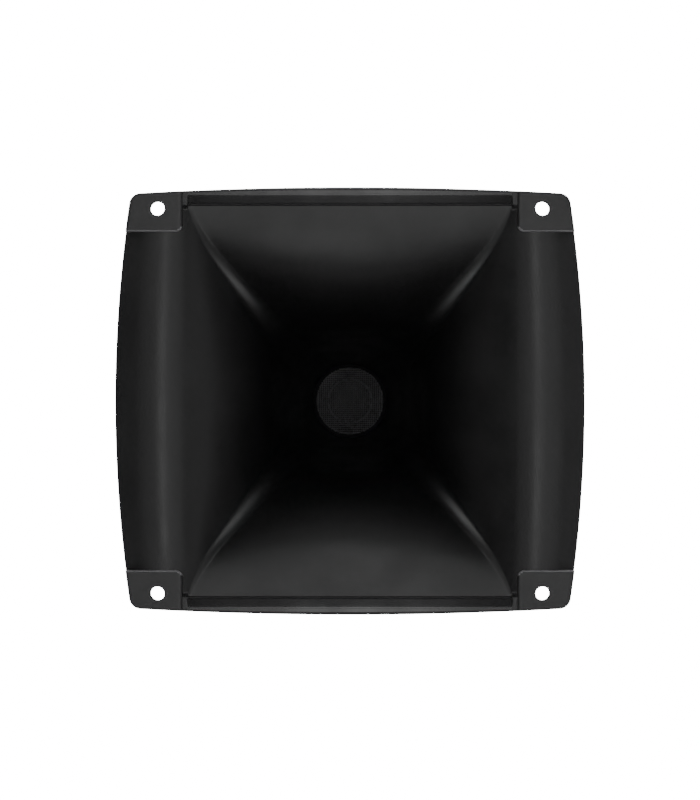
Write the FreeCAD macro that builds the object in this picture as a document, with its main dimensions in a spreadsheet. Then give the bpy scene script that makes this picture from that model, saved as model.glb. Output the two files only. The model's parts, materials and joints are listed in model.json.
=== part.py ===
import FreeCAD, Part

import math
import os

import Sketcher
from FreeCAD import Rotation, Vector

# High-frequency horn and compression driver of a PA loudspeaker.
# +Z is up, the mouth faces -Y, +X is to the right seen from the front.
# The origin is the centre of the four mounting holes, on the flange's rear face.

doc = FreeCAD.newDocument("hf_horn")

# Driving dimensions, in millimetres and degrees.
DIMENSIONS = {
    # mouth flange
    "hole_spacing": 190.5,
    "hole_radius": 3.5,
    "outline_half_width": 116.4,
    "outline_half_height": 105.8,
    "outline_side_bow": 665.0,
    "outline_top_bow": 1800.0,
    "outline_corner": 5.8,
    "flange_thick": 11.0,
    "pad_proud": 1.0,
    "pad_inner_x": 82.8,
    "pad_inner_z": 83.8,
    "edge_round": 0.9,
    "rear_wall": 5.0,
    "rear_pocket": 4.0,
    "boss_radius": 9.0,
    # lip recess above and below the mouth
    "lip_half_width": 80.0,
    "lip_depth": 4.0,
    "lip_flat_edge": 97.9,
    "lip_top_edge": 101.9,
    "cutter_overlap": 1.0,
    # rolled cheeks left and right of the mouth
    "cheek_inner_x": 81.5,
    "cheek_root": 6.0,
    "cheek_crest_x": 94.7,
    "cheek_crest_drop": 0.4,
    "cheek_inner_bow": 3000.0,
    "cheek_crest_bow": 1500.0,
    "cheek_outer_roll": 28.0,
    "cheek_outer_tilt": 25.0,
    # horn walls: half height and half width against depth behind the lip
    "mouth_half_height": 96.7,
    "top_lip_angle": 80.0,
    "top_lip_arc": 70.0,
    "top_cone_angle": 12.0,
    "side_lip_angle": 60.0,
    "side_lip_arc": 88.0,
    "side_cone_angle": 13.4,
    "bend_angle": 45.0,
    "throat_radius": 19.05,
    "mouth_corner": 2.0,
    "corner_growth": 0.9,
    "top_bow_peak": 5.0,
    "top_bow_depth": 20.0,
    "side_bow_peak": 3.5,
    "side_bow_depth": 30.0,
    "wall_thick": 4.0,
    "collar_overlap": 0.5,
    "least_corner": 1.0,
    "horn_length": 131.0,
    # throat flange and ribs
    "throat_flange_radius": 66.0,
    "throat_flange_thick": 10.0,
    "rib_thick": 4.0,
    "rib_reach_z": 96.0,
    "rib_reach_x": 104.0,
    "rib_foot": 3.0,
    "rib_tip_inset": 8.0,
    # driver to horn fastening
    "bolt_circle": 101.6,
    "bolt_radius": 3.0,
    "bolt_clear": 3.3,
    "bolt_head_radius": 5.0,
    "bolt_head_length": 6.0,
    "bolt_hex": 2.9,
    "bolt_depth": 10.0,
    "spot_clear": 1.0,
    "spot_length": 26.0,
    "socket_share": 0.6,
    "washer_radius": 6.2,
    "washer_thick": 1.4,
    "gasket_thick": 1.0,
    "gasket_radius": 62.0,
    "gasket_bore_clear": 0.5,
    # driver motor
    "plate_radius": 75.0,
    "front_plate_thick": 12.0,
    "screen_radius": 22.0,
    "screen_thick": 0.6,
    "screen_ring_thick": 1.6,
    "screen_ring_bore": 19.6,
    "pole_radius": 35.7,
    "magnet_radius": 73.0,
    "magnet_bore": 46.0,
    "magnet_thick": 20.0,
    "top_plate_thick": 10.0,
    "gap_radius": 38.0,
    # diaphragm
    "plug_seat_radius": 30.0,
    "plug_seat_depth": 14.0,
    "plug_slot_inner": 12.0,
    "plug_slot_outer": 22.0,
    "plug_slot_width": 1.2,
    "plug_crown": 12.0,
    "bridge_length": 54.0,
    "bridge_width": 3.0,
    "bridge_gap": 4.0,
    "former_radius": 36.3,
    "former_thick": 0.3,
    "former_length": 12.0,
    "coil_thick": 0.7,
    "coil_length": 8.0,
    "dome_height": 12.0,
    "dome_thick": 0.4,
    "dome_lift": 2.0,
    "surround_inner": 36.9,
    "surround_outer": 43.0,
    "surround_thick": 0.3,
    "surround_rise": 0.9,
    "surround_flank": 2.0,
    "carrier_inner": 41.5,
    "carrier_outer": 54.0,
    "carrier_thick": 2.0,
    "carrier_circle": 98.0,
    "small_screw_radius": 1.5,
    "small_head_radius": 2.8,
    "small_head_length": 2.0,
    "small_screw_depth": 5.0,
    "small_clear": 0.2,
    "small_hex": 1.4,
    "pin_radius": 1.5,
    "pin_depth": 3.0,
    # rear cap
    "cap_gasket_thick": 1.0,
    "cap_inner_radius": 61.0,
    "cap_length": 31.0,
    "cap_roof": 5.0,
    "cap_round": 5.0,
    "cap_cove": 6.0,
    "cap_gasket_inset": 1.0,
    "cap_circle": 134.0,
    "cap_screw_radius": 2.5,
    "cap_head_radius": 4.4,
    "cap_head_length": 3.0,
    "cap_hex": 2.42,
    "cap_seat": 16.0,
    "cap_clear": 0.3,
    "cap_sink_clear": 0.8,
    "cap_screw_depth": 7.0,
    "cap_foam_thick": 6.0,
    "cap_foam_radius": 52.0,
    "foam_notch_margin": 6.0,
    "foam_notch_drop": 10.0,
    # terminals
    "terminal_z": 44.0,
    "terminal_pitch": 22.0,
    "terminal_width": 58.0,
    "terminal_height": 19.0,
    "terminal_base": 4.0,
    "terminal_corner": 3.0,
    "terminal_screw_inset": 5.0,
    "contact_clear": 1.2,
    "contact_rise": 6.0,
    "way_rise": 3.0,
    "sleeve_radius": 6.5,
    "sleeve_length": 8.0,
    "button_radius": 4.6,
    "button_clear": 0.08,
    "button_rise": 3.6,
    "button_foot": 4.6,
    "button_travel": 3.0,
    "button_wall": 1.0,
    "spring_gap": 0.05,
    # solder tabs and leads
    "tab_width": 4.0,
    "tab_thick": 0.8,
    "tab_length": 7.0,
    "tab_step": 2.5,
    "lead_step": 8.0,
    "lead_bend": 0.45,
    "wire_way": 3.0,
    "button_roof": 1.4,
    "contact_radius": 1.4,
    "contact_length": 17.0,
    "spring_radius": 3.0,
    "spring_wire": 0.25,
    "wire_radius": 0.7,
}

sheet = doc.addObject("Spreadsheet::Sheet", "Dimensions")
sheet.Label = "dims"
for row, (alias, number) in enumerate(DIMENSIONS.items(), start=1):
    sheet.set(f"A{row}", alias)
    sheet.set(f"B{row}", str(number))
    sheet.setAlias(f"B{row}", alias)
doc.recompute()


class Size:
    """A length that keeps its value beside the expression that binds it to the sheet."""

    def __init__(self, value, text):
        self.value = value
        self.text = text

    def _join(self, sign, other, value, swap=False):
        other_text = other.text if isinstance(other, Size) else str(other)
        first, last = (other_text, self.text) if swap else (self.text, other_text)
        return Size(value, f"({first} {sign} {last})")

    def __add__(self, other):
        return self._join("+", other, self.value + number_of(other))

    def __radd__(self, other):
        return self._join("+", other, number_of(other) + self.value, swap=True)

    def __sub__(self, other):
        return self._join("-", other, self.value - number_of(other))

    def __rsub__(self, other):
        return self._join("-", other, number_of(other) - self.value, swap=True)

    def __mul__(self, other):
        return self._join("*", other, self.value * number_of(other))

    def __truediv__(self, other):
        return self._join("/", other, self.value / number_of(other))

    def __neg__(self):
        return Size(-self.value, f"(0 - {self.text})")


def number_of(size):
    return size.value if isinstance(size, Size) else float(size)


def dim(alias):
    return Size(float(sheet.get(alias)), f"dims.{alias}")


def bind(obj, **sizes):
    for prop, size in sizes.items():
        path = prop.replace("_", ".")
        text = size.text if isinstance(size, Size) else str(size)
        obj.setExpression(path, text)


def place(obj, x=0, y=0, z=0, rotation=None):
    if rotation:
        obj.Placement = FreeCAD.Placement(Vector(), rotation)
    bind(obj, Placement_Base_x=x, Placement_Base_y=y, Placement_Base_z=z)
    return obj


ALONG_Y = Rotation(Vector(1, 0, 0), -90)


def box(name, length, width, height, x=0, y=0, z=0):
    """A box whose lowest corner is at x, y, z; its length runs along X and its height along Z."""
    solid = doc.addObject("Part::Box", name)
    bind(solid, Length=length, Width=width, Height=height)
    return place(solid, x, y, z)


def rod(name, radius, length, x=0, y=0, z=0):
    """A cylinder from y along +Y."""
    solid = doc.addObject("Part::Cylinder", name)
    bind(solid, Radius=radius, Height=length)
    return place(solid, x, y, z, ALONG_Y)


def prism(name, circumradius, length, x, y, z):
    solid = doc.addObject("Part::Prism", name)
    solid.Polygon = 6
    bind(solid, Circumradius=circumradius, Height=length)
    return place(solid, x, y, z, ALONG_Y)


def fuse(name, shapes):
    solid = doc.addObject("Part::MultiFuse", name)
    solid.Shapes = shapes
    return solid


def cut(name, base, tools):
    tool = tools[0] if len(tools) == 1 else fuse(name + "_tools", tools)
    solid = doc.addObject("Part::Cut", name)
    solid.Base = base
    solid.Tool = tool
    return solid


def group(name, solids):
    compound = doc.addObject("Part::Compound", name)
    compound.Links = solids
    return compound


def feature(name, shape):
    solid = doc.addObject("Part::Feature", name)
    solid.Shape = shape
    return solid


SUBPARTS = []


def subpart(label, solid):
    solid.Label = label
    SUBPARTS.append(solid)
    return solid


def turned(label, vertices):
    """A PartDesign body: a closed profile of (radius, y) vertices, turned once round the Y axis."""
    body = doc.addObject("PartDesign::Body", label + "_body")
    sketch = body.newObject("Sketcher::SketchObject", label + "_profile")
    planes = body.Origin.OriginFeatures
    sketch.AttachmentSupport = [(next(p for p in planes if p.Role == "XY_Plane"), "")]
    sketch.MapMode = "FlatFace"
    points = [Vector(number_of(r), number_of(y), 0) for r, y in vertices]
    count = len(points)
    for index in range(count):
        sketch.addGeometry(Part.LineSegment(points[index], points[(index + 1) % count]), False)
    for index in range(count):
        following = (index + 1) % count
        sketch.addConstraint(Sketcher.Constraint("Coincident", index, 2, following, 1))
    for index, (r, y) in enumerate(vertices):
        for axis, size in (("DistanceX", r), ("DistanceY", y)):
            rule = Sketcher.Constraint(axis, -1, 1, index, 1, number_of(size))
            number = sketch.addConstraint(rule)
            if isinstance(size, Size):
                sketch.setExpression(f"Constraints[{number}]", size.text)
    revolution = body.newObject("PartDesign::Revolution", label + "_turn")
    revolution.Profile = sketch
    revolution.ReferenceAxis = (sketch, ["V_Axis"])
    revolution.Angle = 360.0
    body.Tip = revolution
    return body


def ring_places(circle, count, first_degrees):
    """Evenly spaced (x, z) places on a circle given by its diameter."""
    places = []
    for index in range(count):
        degrees = first_degrees + 360.0 * index / count
        angle = math.radians(degrees)
        x = Size(circle.value / 2 * math.cos(angle), f"({circle.text} / 2 * cos({degrees} deg))")
        z = Size(circle.value / 2 * math.sin(angle), f"({circle.text} / 2 * sin({degrees} deg))")
        places.append((x, z))
    return places


# ---------------------------------------------------------------------------
# Places along the horn's axis, each worked out from the driving dimensions.
# ---------------------------------------------------------------------------
y_front = -dim("flange_thick")
y_pad = y_front - dim("pad_proud")
y_lip = y_front + dim("lip_depth")
y_horn_end = dim("horn_length")
y_throat_flange = y_horn_end - dim("throat_flange_thick")
y_driver = y_horn_end + dim("gasket_thick")
y_magnet = y_driver + dim("front_plate_thick")
y_top_plate = y_magnet + dim("magnet_thick")
y_carrier = y_top_plate + dim("top_plate_thick")
y_cap = y_carrier + dim("cap_gasket_thick")
y_cap_end = y_cap + dim("cap_length")


# ---------------------------------------------------------------------------
# Horn flare
# ---------------------------------------------------------------------------
def near_straight(curve):
    """A straight edge is drawn as an arc of at least this slight curve, so that it has a radius."""
    least = 1e-5
    return math.copysign(max(abs(curve), least), curve)


def section_wire(half_w, half_h, side_curve, top_curve, corner, y):
    """Closed section at one y: four long arcs joined by four tangent corner arcs.

    A curve is one over a radius: above zero the edge bulges outwards, below zero it bows inwards.
    """
    if abs(side_curve * corner - 1) < 1e-6:
        centre_x = centre_z = 0.0
        low = math.radians(22.5)
        high = math.radians(67.5)
    else:
        side_radius = 1 / near_straight(side_curve)
        top_radius = 1 / near_straight(top_curve)
        x1 = half_w - side_radius
        z2 = half_h - top_radius
        r1 = abs(side_radius - corner)
        r2 = abs(top_radius - corner)
        # the corner's centre lies where two circles cross, at the crossing nearer to the corner
        gap = math.hypot(x1, z2)
        along = (r1 * r1 - r2 * r2 + gap * gap) / (2 * gap)
        across = math.sqrt(r1 * r1 - along * along)
        ux, uz = -x1 / gap, z2 / gap
        crossings = [
            (x1 + along * ux - turn * across * uz, along * uz + turn * across * ux)
            for turn in (-1, 1)
        ]
        centre_x, centre_z = min(
            crossings, key=lambda place: math.hypot(half_w - place[0], half_h - place[1])
        )
        side_sign = math.copysign(1, side_radius)
        top_sign = math.copysign(1, top_radius)
        low = math.atan2(side_sign * centre_z, side_sign * (centre_x - x1))
        high = math.atan2(top_sign * (centre_z - z2), top_sign * centre_x)

    def point(centre_u, centre_v, radius, angle):
        return (centre_u + radius * math.cos(angle), centre_v + radius * math.sin(angle))

    start = point(centre_x, centre_z, corner, low)
    middle = point(centre_x, centre_z, corner, (low + high) / 2)
    end = point(centre_x, centre_z, corner, high)
    quadrant = {
        (1, 1): (start, middle, end),
        (-1, 1): (end, middle, start),
        (-1, -1): (start, middle, end),
        (1, -1): (end, middle, start),
    }
    edges = []
    corners = []
    for (sx, sz), points in quadrant.items():
        corners.append([Vector(sx * x, y, sz * z) for x, z in points])
    crowns = [
        Vector(0, y, half_h),
        Vector(-half_w, y, 0),
        Vector(0, y, -half_h),
        Vector(half_w, y, 0),
    ]
    for index, (first, mid, last) in enumerate(corners):
        following = corners[(index + 1) % 4][0]
        edges.append(Part.Arc(first, mid, last).toShape())
        edges.append(Part.Arc(last, crowns[index], following).toShape())
    return Part.Wire(edges)


class WallProfile:
    """Half opening of the horn against depth behind the lip: a lip arc, a bend arc and a straight cone."""

    def __init__(self, mouth, lip_angle, lip_arc, cone_angle, depth):
        self.mouth = mouth
        self.lip = math.radians(lip_angle)
        self.arc = lip_arc
        self.bend = math.radians(dim("bend_angle").value)
        self.cone = math.radians(cone_angle)
        self.depth = depth
        self.throat = dim("throat_radius").value
        self.depth_1 = lip_arc * (math.sin(self.lip) - math.sin(self.bend))
        self.half_1 = mouth - lip_arc * (math.cos(self.bend) - math.cos(self.lip))
        # radius of the bend arc that leaves a straight cone ending at the throat
        run = depth - self.depth_1
        drop = self.half_1 - self.throat
        run_rate = math.sin(self.bend) - math.sin(self.cone)
        drop_rate = math.cos(self.cone) - math.cos(self.bend)
        slope = math.tan(self.cone)
        self.bend_arc = (drop - run * slope) / (drop_rate - run_rate * slope)
        self.depth_2 = self.depth_1 + self.bend_arc * run_rate

    def at(self, depth):
        """Half opening and wall angle from the axis at a depth."""
        if depth <= self.depth_1:
            angle = math.asin(math.sin(self.lip) - max(depth, 0.0) / self.arc)
            return self.mouth - self.arc * (math.cos(angle) - math.cos(self.lip)), angle
        if depth <= self.depth_2:
            angle = math.asin(math.sin(self.bend) - (depth - self.depth_1) / self.bend_arc)
            half = self.half_1 - self.bend_arc * (math.cos(angle) - math.cos(self.bend))
            return half, angle
        return self.throat + (self.depth - depth) * math.tan(self.cone), self.cone

    def outside(self, depth, thick):
        """Half size of the outer skin at a depth, one wall thickness away along the normal."""
        low, high = 0.0, self.depth
        for _ in range(50):
            middle = (low + high) / 2
            half, angle = self.at(middle)
            if middle + thick * math.sin(angle) < depth:
                low = middle
            else:
                high = middle
        return half + thick * math.cos(angle)


horn_depth = number_of(y_horn_end - y_lip)
top_wall = WallProfile(
    dim("mouth_half_height").value,
    dim("top_lip_angle").value,
    dim("top_lip_arc").value,
    dim("top_cone_angle").value,
    horn_depth,
)
side_wall = WallProfile(
    dim("cheek_inner_x").value,
    dim("side_lip_angle").value,
    dim("side_lip_arc").value,
    dim("side_cone_angle").value,
    horn_depth,
)


def corner_radius(depth):
    share = (max(depth, 0.0) / horn_depth) ** dim("corner_growth").value
    mouth = dim("mouth_corner").value
    return mouth + (dim("throat_radius").value - mouth) * share


def inward_bow(depth, peak, peak_depth):
    """How far an edge's middle lies inside its ends: none at the mouth, most at the peak depth."""
    share = max(depth, 0.0) / peak_depth
    return peak * share * math.exp(1 - share)


def long_curves(depth, half_w, half_h):
    """Curves of the side and top edges: bowed inwards near the mouth, the throat's circle at its end."""
    share = (max(depth, 0.0) / horn_depth) ** 4
    side_bow = inward_bow(depth, dim("side_bow_peak").value, dim("side_bow_depth").value)
    top_bow = inward_bow(depth, dim("top_bow_peak").value, dim("top_bow_depth").value)
    side_flat = 1 / dim("cheek_inner_bow").value - 2 * side_bow / half_h ** 2
    top_flat = -2 * top_bow / half_w ** 2
    throat_curve = 1 / dim("throat_radius").value
    side = share * throat_curve + (1 - share) * side_flat
    top = share * throat_curve + (1 - share) * top_flat
    return near_straight(side), near_straight(top)


def horn_section(depth, thick=0.0):
    half_w = side_wall.at(depth)[0]
    half_h = top_wall.at(depth)[0]
    side_curve, top_curve = long_curves(depth, half_w, half_h)
    if thick:
        half_w = side_wall.outside(depth, thick)
        half_h = top_wall.outside(depth, thick)
        side_curve = 1 / (1 / side_curve + thick)
        top_curve = 1 / (1 / top_curve + thick)
    y = y_lip.value + depth
    return section_wire(half_w, half_h, side_curve, top_curve, corner_radius(depth) + thick, y)


INNER_DEPTHS = (0, 1.5, 3.5, 6.5, 10.5, 16, 23, 32, 44, 58, 74, 92, 112)
OUTER_DEPTHS = (4.5, 6, 8.5, 12.5, 18, 26, 36, 48, 62, 78, 96, 114)
inner_wires = [horn_section(depth) for depth in INNER_DEPTHS] + [horn_section(horn_depth)]
horn_space = feature("horn_space", Part.makeLoft(inner_wires, True, False))
outer_wires = [horn_section(depth, dim("wall_thick").value) for depth in OUTER_DEPTHS]
outer_wires.append(horn_section(horn_depth, dim("wall_thick").value))
bell_skin = feature("bell_skin", Part.makeLoft(outer_wires, True, False))
# a straight collar joins the outer skin to the flange's front wall across the rear pocket
collar_length = y_lip.value + OUTER_DEPTHS[0] + dim("rear_pocket").value + dim("collar_overlap").value
bell_collar = feature(
    "bell_collar", Part.Face(outer_wires[0]).extrude(Vector(0, -collar_length, 0))
)


def outline_face(inset, y):
    wire = section_wire(
        dim("outline_half_width").value - inset,
        dim("outline_half_height").value - inset,
        1 / (dim("outline_side_bow").value - inset),
        1 / (dim("outline_top_bow").value - inset),
        max(dim("outline_corner").value - inset, dim("least_corner").value),
        y,
    )
    return Part.Face(wire)


def flange_block():
    """The flange's whole outline as thick as its pads, with its front edge rounded."""
    block = outline_face(0, 0).extrude(Vector(0, y_pad.value, 0))
    front = [e for e in block.Edges if all(abs(v.Y - y_pad.value) < 1e-6 for v in e.Vertexes)]
    return block.makeFillet(dim("edge_round").value, front)


def bow_at(radius, z):
    """How far an arc of this radius has fallen back at a distance z from its crown."""
    return radius - math.sqrt(radius * radius - z * z)


def cheek_wire(z):
    """Section of the right cheek at one z: rises from the mouth to the crest, then rolls back."""
    inner = dim("cheek_inner_x").value - bow_at(dim("cheek_inner_bow").value, z)
    crest = dim("cheek_crest_x").value - bow_at(dim("cheek_crest_bow").value, z)
    outer = dim("outline_half_width").value - bow_at(dim("outline_side_bow").value, z)
    top = (y_front + dim("cheek_crest_drop")).value
    lip = y_lip.value
    roll = dim("cheek_outer_roll").value
    tilt = math.radians(dim("cheek_outer_tilt").value)
    root = dim("cheek_root").value

    # the inner roll starts on the lip plane and is level at the crest
    width = crest - inner
    height = lip - top
    inner_radius = (width * width + height * height) / (2 * height)
    sweep = math.asin(width / inner_radius)
    inner_mid = Vector(
        crest - inner_radius * math.sin(sweep / 2),
        top + inner_radius * (1 - math.cos(sweep / 2)),
        z,
    )
    crest_point = Vector(crest, top, z)
    outer_mid = Vector(crest + roll * math.sin(tilt / 2), top + roll * (1 - math.cos(tilt / 2)), z)
    outer_end = Vector(crest + roll * math.sin(tilt), top + roll * (1 - math.cos(tilt)), z)
    edge_y = outer_end.y + (outer - outer_end.x) * math.tan(tilt)
    edge = Vector(outer, edge_y, z)
    rear_outer = Vector(outer, 0, z)
    rear_inner = Vector(inner - root, 0, z)
    front_inner = Vector(inner - root, lip, z)
    lip_point = Vector(inner, lip, z)
    edges = [
        Part.Arc(lip_point, inner_mid, crest_point).toShape(),
        Part.Arc(crest_point, outer_mid, outer_end).toShape(),
        Part.LineSegment(outer_end, edge).toShape(),
        Part.LineSegment(edge, rear_outer).toShape(),
        Part.LineSegment(rear_outer, rear_inner).toShape(),
        Part.LineSegment(rear_inner, front_inner).toShape(),
        Part.LineSegment(front_inner, lip_point).toShape(),
    ]
    return Part.Wire(edges)


# places along the cheek's height, as shares of the way to a pad
CHEEK_STATIONS = (-1, -0.5, 0, 0.5, 1)


def cheek_solid():
    reach = dim("pad_inner_z").value
    stations = [reach * share for share in CHEEK_STATIONS]
    return Part.makeLoft([cheek_wire(z) for z in stations], True, False)


flange = feature("flange_block", flange_block())
cheek_right = feature("cheek_right", cheek_solid())
cheek_left = doc.addObject("Part::Mirroring", "cheek_left")
cheek_left.Source = cheek_right
cheek_left.Normal = Vector(1, 0, 0)

far = dim("outline_half_width") * 2
window_height = dim("pad_inner_z") * 2
window_right = box(
    "window_right", far, far, window_height,
    dim("cheek_inner_x") - dim("cheek_root"), -far / 2, -dim("pad_inner_z"),
)
window_left = box(
    "window_left", far, far, window_height,
    -far - dim("cheek_inner_x") + dim("cheek_root"), -far / 2, -dim("pad_inner_z"),
)
# the front is one pad's height lower everywhere between the pads
front_field = box(
    "front_field", dim("pad_inner_x") * 2, far, far, -dim("pad_inner_x"), y_front - far, -far / 2
)


def lip_recess_shape():
    """The stepped-down area round the mouth, with its sloped upper and lower banks."""
    half = dim("lip_half_width").value
    flat = dim("lip_flat_edge").value
    bank = dim("lip_top_edge").value
    outline = [(y_lip.value, flat), (y_front.value, bank), (y_pad.value - dim("cutter_overlap").value, bank)]
    mirrored = [(y, -z) for y, z in reversed(outline)]
    points = [Vector(-half, y, z) for y, z in outline + mirrored]
    return Part.Face(Part.makePolygon(points + points[:1])).extrude(Vector(2 * half, 0, 0))


lip_recess = feature("lip_recess", lip_recess_shape())
flange_front = cut("flange_front", flange, [window_right, window_left, front_field, lip_recess])

rear_pocket = feature(
    "rear_pocket",
    outline_face(dim("rear_wall").value, 0).extrude(Vector(0, -dim("rear_pocket").value, 0)),
)
flange_whole = fuse("flange_whole", [flange_front, cheek_right, cheek_left])
flange_shell = cut("flange_shell", flange_whole, [rear_pocket])

HOLE_CORNERS = [(1, 1), (-1, 1), (-1, -1), (1, -1)]
half_spacing = dim("hole_spacing") / 2
bosses = []
mount_holes = []
for number, (side, level) in enumerate(HOLE_CORNERS, start=1):
    x = half_spacing * side
    z = half_spacing * level
    pocket = dim("rear_pocket") + dim("cutter_overlap")
    bosses.append(rod(f"boss_{number}", dim("boss_radius"), pocket, x, -pocket, z))
    mount_holes.append(rod(f"mount_hole_{number}", dim("hole_radius"), far, x, -far / 2, z))

throat_flange = rod(
    "throat_flange", dim("throat_flange_radius"), dim("throat_flange_thick"), 0, y_throat_flange, 0
)


def rib_shape(reach, vertical):
    """A flat gusset from the flange's rear to the throat flange, in the middle of one side."""
    half = dim("rib_thick").value / 2
    root = dim("throat_radius").value
    tip = dim("throat_flange_radius").value - dim("rib_tip_inset").value
    start = -dim("rear_pocket").value
    end = y_throat_flange.value + dim("cutter_overlap").value
    foot = dim("rib_foot").value
    profile = [(start, root), (start, reach), (foot, reach), (end, tip), (end, root)]
    if vertical:
        points = [Vector(-half, y, out) for y, out in profile]
        push = Vector(2 * half, 0, 0)
    else:
        points = [Vector(out, y, -half) for y, out in profile]
        push = Vector(0, 0, 2 * half)
    return Part.Face(Part.makePolygon(points + points[:1])).extrude(push)


ribs = []
for tag, opposite, reach, normal, vertical in (
    ("top", "bottom", "rib_reach_z", Vector(0, 0, 1), True),
    ("right", "left", "rib_reach_x", Vector(1, 0, 0), False),
):
    rib = feature(f"rib_{tag}", rib_shape(dim(reach).value, vertical))
    mirrored = doc.addObject("Part::Mirroring", f"rib_{opposite}")
    mirrored.Source = rib
    mirrored.Normal = normal
    ribs += [rib, mirrored]

horn_solid = fuse("horn_solid", [flange_shell, bell_skin, bell_collar, throat_flange] + bosses + ribs)
bolt_places = ring_places(dim("bolt_circle"), 4, 45)
bolt_holes = [
    rod(f"bolt_hole_{number}", dim("bolt_clear"), dim("throat_flange_thick") + dim("cutter_overlap") * 2,
        x, y_throat_flange - dim("cutter_overlap"), z)
    for number, (x, z) in enumerate(bolt_places, start=1)
]
spot_faces = [
    rod(f"spot_face_{number}", dim("washer_radius") + dim("spot_clear"), dim("spot_length"), x,
        y_throat_flange - dim("spot_length"), z)
    for number, (x, z) in enumerate(bolt_places, start=1)
]
subpart("horn_flare", cut("horn_cut", horn_solid, [horn_space] + mount_holes + bolt_holes + spot_faces))

# ---------------------------------------------------------------------------
# Fastening between the horn and the driver
# ---------------------------------------------------------------------------
def socket_screw(name, radius, length, head_radius, head_length, hex_radius, x, y, z, towards=1):
    """Socket-head screw whose head's underside is at y; the shank runs along +Y or -Y."""
    socket_length = head_length * dim("socket_share")
    if towards > 0:
        shank = rod(name + "_shank", radius, length, x, y, z)
        head = rod(name + "_head", head_radius, head_length, x, y - head_length, z)
        socket = prism(name + "_socket", hex_radius, socket_length, x, y - head_length, z)
    else:
        shank = rod(name + "_shank", radius, length, x, y - length, z)
        head = rod(name + "_head", head_radius, head_length, x, y, z)
        socket = prism(name + "_socket", hex_radius, socket_length, x, y + head_length - socket_length, z)
    return cut(name, fuse(name + "_blank", [shank, head]), [socket])


bolts = []
washers = []
bolt_reach = dim("washer_thick") + dim("throat_flange_thick") + dim("gasket_thick") + dim("bolt_depth")
for number, (x, z) in enumerate(bolt_places, start=1):
    under_head = y_throat_flange - dim("washer_thick")
    bolts.append(
        socket_screw(f"bolt_{number}", dim("bolt_radius"), bolt_reach, dim("bolt_head_radius"),
                     dim("bolt_head_length"), dim("bolt_hex"), x, under_head, z)
    )
    disc = rod(f"washer_disc_{number}", dim("washer_radius"), dim("washer_thick"), x, under_head, z)
    eye = rod(f"washer_eye_{number}", dim("bolt_clear"), dim("washer_thick"), x, under_head, z)
    washers.append(cut(f"washer_{number}", disc, [eye]))
subpart("driver_bolts", group("bolt_group", bolts))
subpart("driver_washers", group("washer_group", washers))

gasket_disc = rod("gasket_disc", dim("gasket_radius"), dim("gasket_thick"), 0, y_horn_end, 0)
gasket_bore = dim("throat_radius") + dim("gasket_bore_clear")
gasket_cuts = [rod("gasket_bore", gasket_bore, dim("gasket_thick"), 0, y_horn_end, 0)]
gasket_cuts += [
    rod(f"gasket_hole_{number}", dim("bolt_clear"), dim("gasket_thick"), x, y_horn_end, z)
    for number, (x, z) in enumerate(bolt_places, start=1)
]
subpart("throat_gasket", cut("gasket_cut", gasket_disc, gasket_cuts))

# ---------------------------------------------------------------------------
# Driver motor
# ---------------------------------------------------------------------------
screen_depth = dim("screen_thick") + dim("screen_ring_thick")
y_pole_end = y_carrier
y_plug_seat = y_pole_end - dim("plug_seat_depth")
pole_plate = turned("pole_plate", [
    (dim("screen_radius"), y_driver),
    (dim("plate_radius"), y_driver),
    (dim("plate_radius"), y_magnet),
    (dim("pole_radius"), y_magnet),
    (dim("pole_radius"), y_pole_end),
    (dim("plug_seat_radius"), y_pole_end),
    (dim("plug_seat_radius"), y_plug_seat),
    (dim("plug_slot_outer"), y_plug_seat),
    (dim("throat_radius"), y_driver + screen_depth),
    (dim("screen_radius"), y_driver + screen_depth),
])
plate_holes = [
    rod(f"plate_hole_{number}", dim("bolt_radius"), dim("bolt_depth") + dim("cutter_overlap"),
        x, y_driver, z)
    for number, (x, z) in enumerate(bolt_places, start=1)
]
subpart("pole_plate", cut("pole_plate_cut", pole_plate, plate_holes))
subpart("throat_screen", rod("screen_disc", dim("screen_radius"), dim("screen_thick"), 0, y_driver, 0))
subpart("screen_ring", turned("screen_ring", [
    (dim("screen_ring_bore"), y_driver + dim("screen_thick")),
    (dim("screen_radius"), y_driver + dim("screen_thick")),
    (dim("screen_radius"), y_driver + screen_depth),
    (dim("screen_ring_bore"), y_driver + screen_depth),
]))
subpart("magnet_ring", turned("magnet_ring", [
    (dim("magnet_bore"), y_magnet),
    (dim("magnet_radius"), y_magnet),
    (dim("magnet_radius"), y_top_plate),
    (dim("magnet_bore"), y_top_plate),
]))

carrier_places = ring_places(dim("carrier_circle"), 6, 30)
pin_places = ring_places(dim("carrier_circle"), 2, 0)
cap_places = ring_places(dim("cap_circle"), 4, 45)
top_plate_ring = turned("top_plate", [
    (dim("gap_radius"), y_top_plate),
    (dim("plate_radius"), y_top_plate),
    (dim("plate_radius"), y_carrier),
    (dim("gap_radius"), y_carrier),
])
top_plate_cuts = []
for tag, places, radius, depth in (
    ("carrier", carrier_places, dim("small_screw_radius"), dim("small_screw_depth")),
    ("pin", pin_places, dim("pin_radius"), dim("pin_depth")),
    ("cap", cap_places, dim("cap_screw_radius"), dim("cap_screw_depth")),
):
    for number, (x, z) in enumerate(places, start=1):
        top_plate_cuts.append(rod(f"{tag}_tap_{number}", radius, depth, x, y_carrier - depth, z))
subpart("top_plate", cut("top_plate_cut", top_plate_ring, top_plate_cuts))

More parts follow.
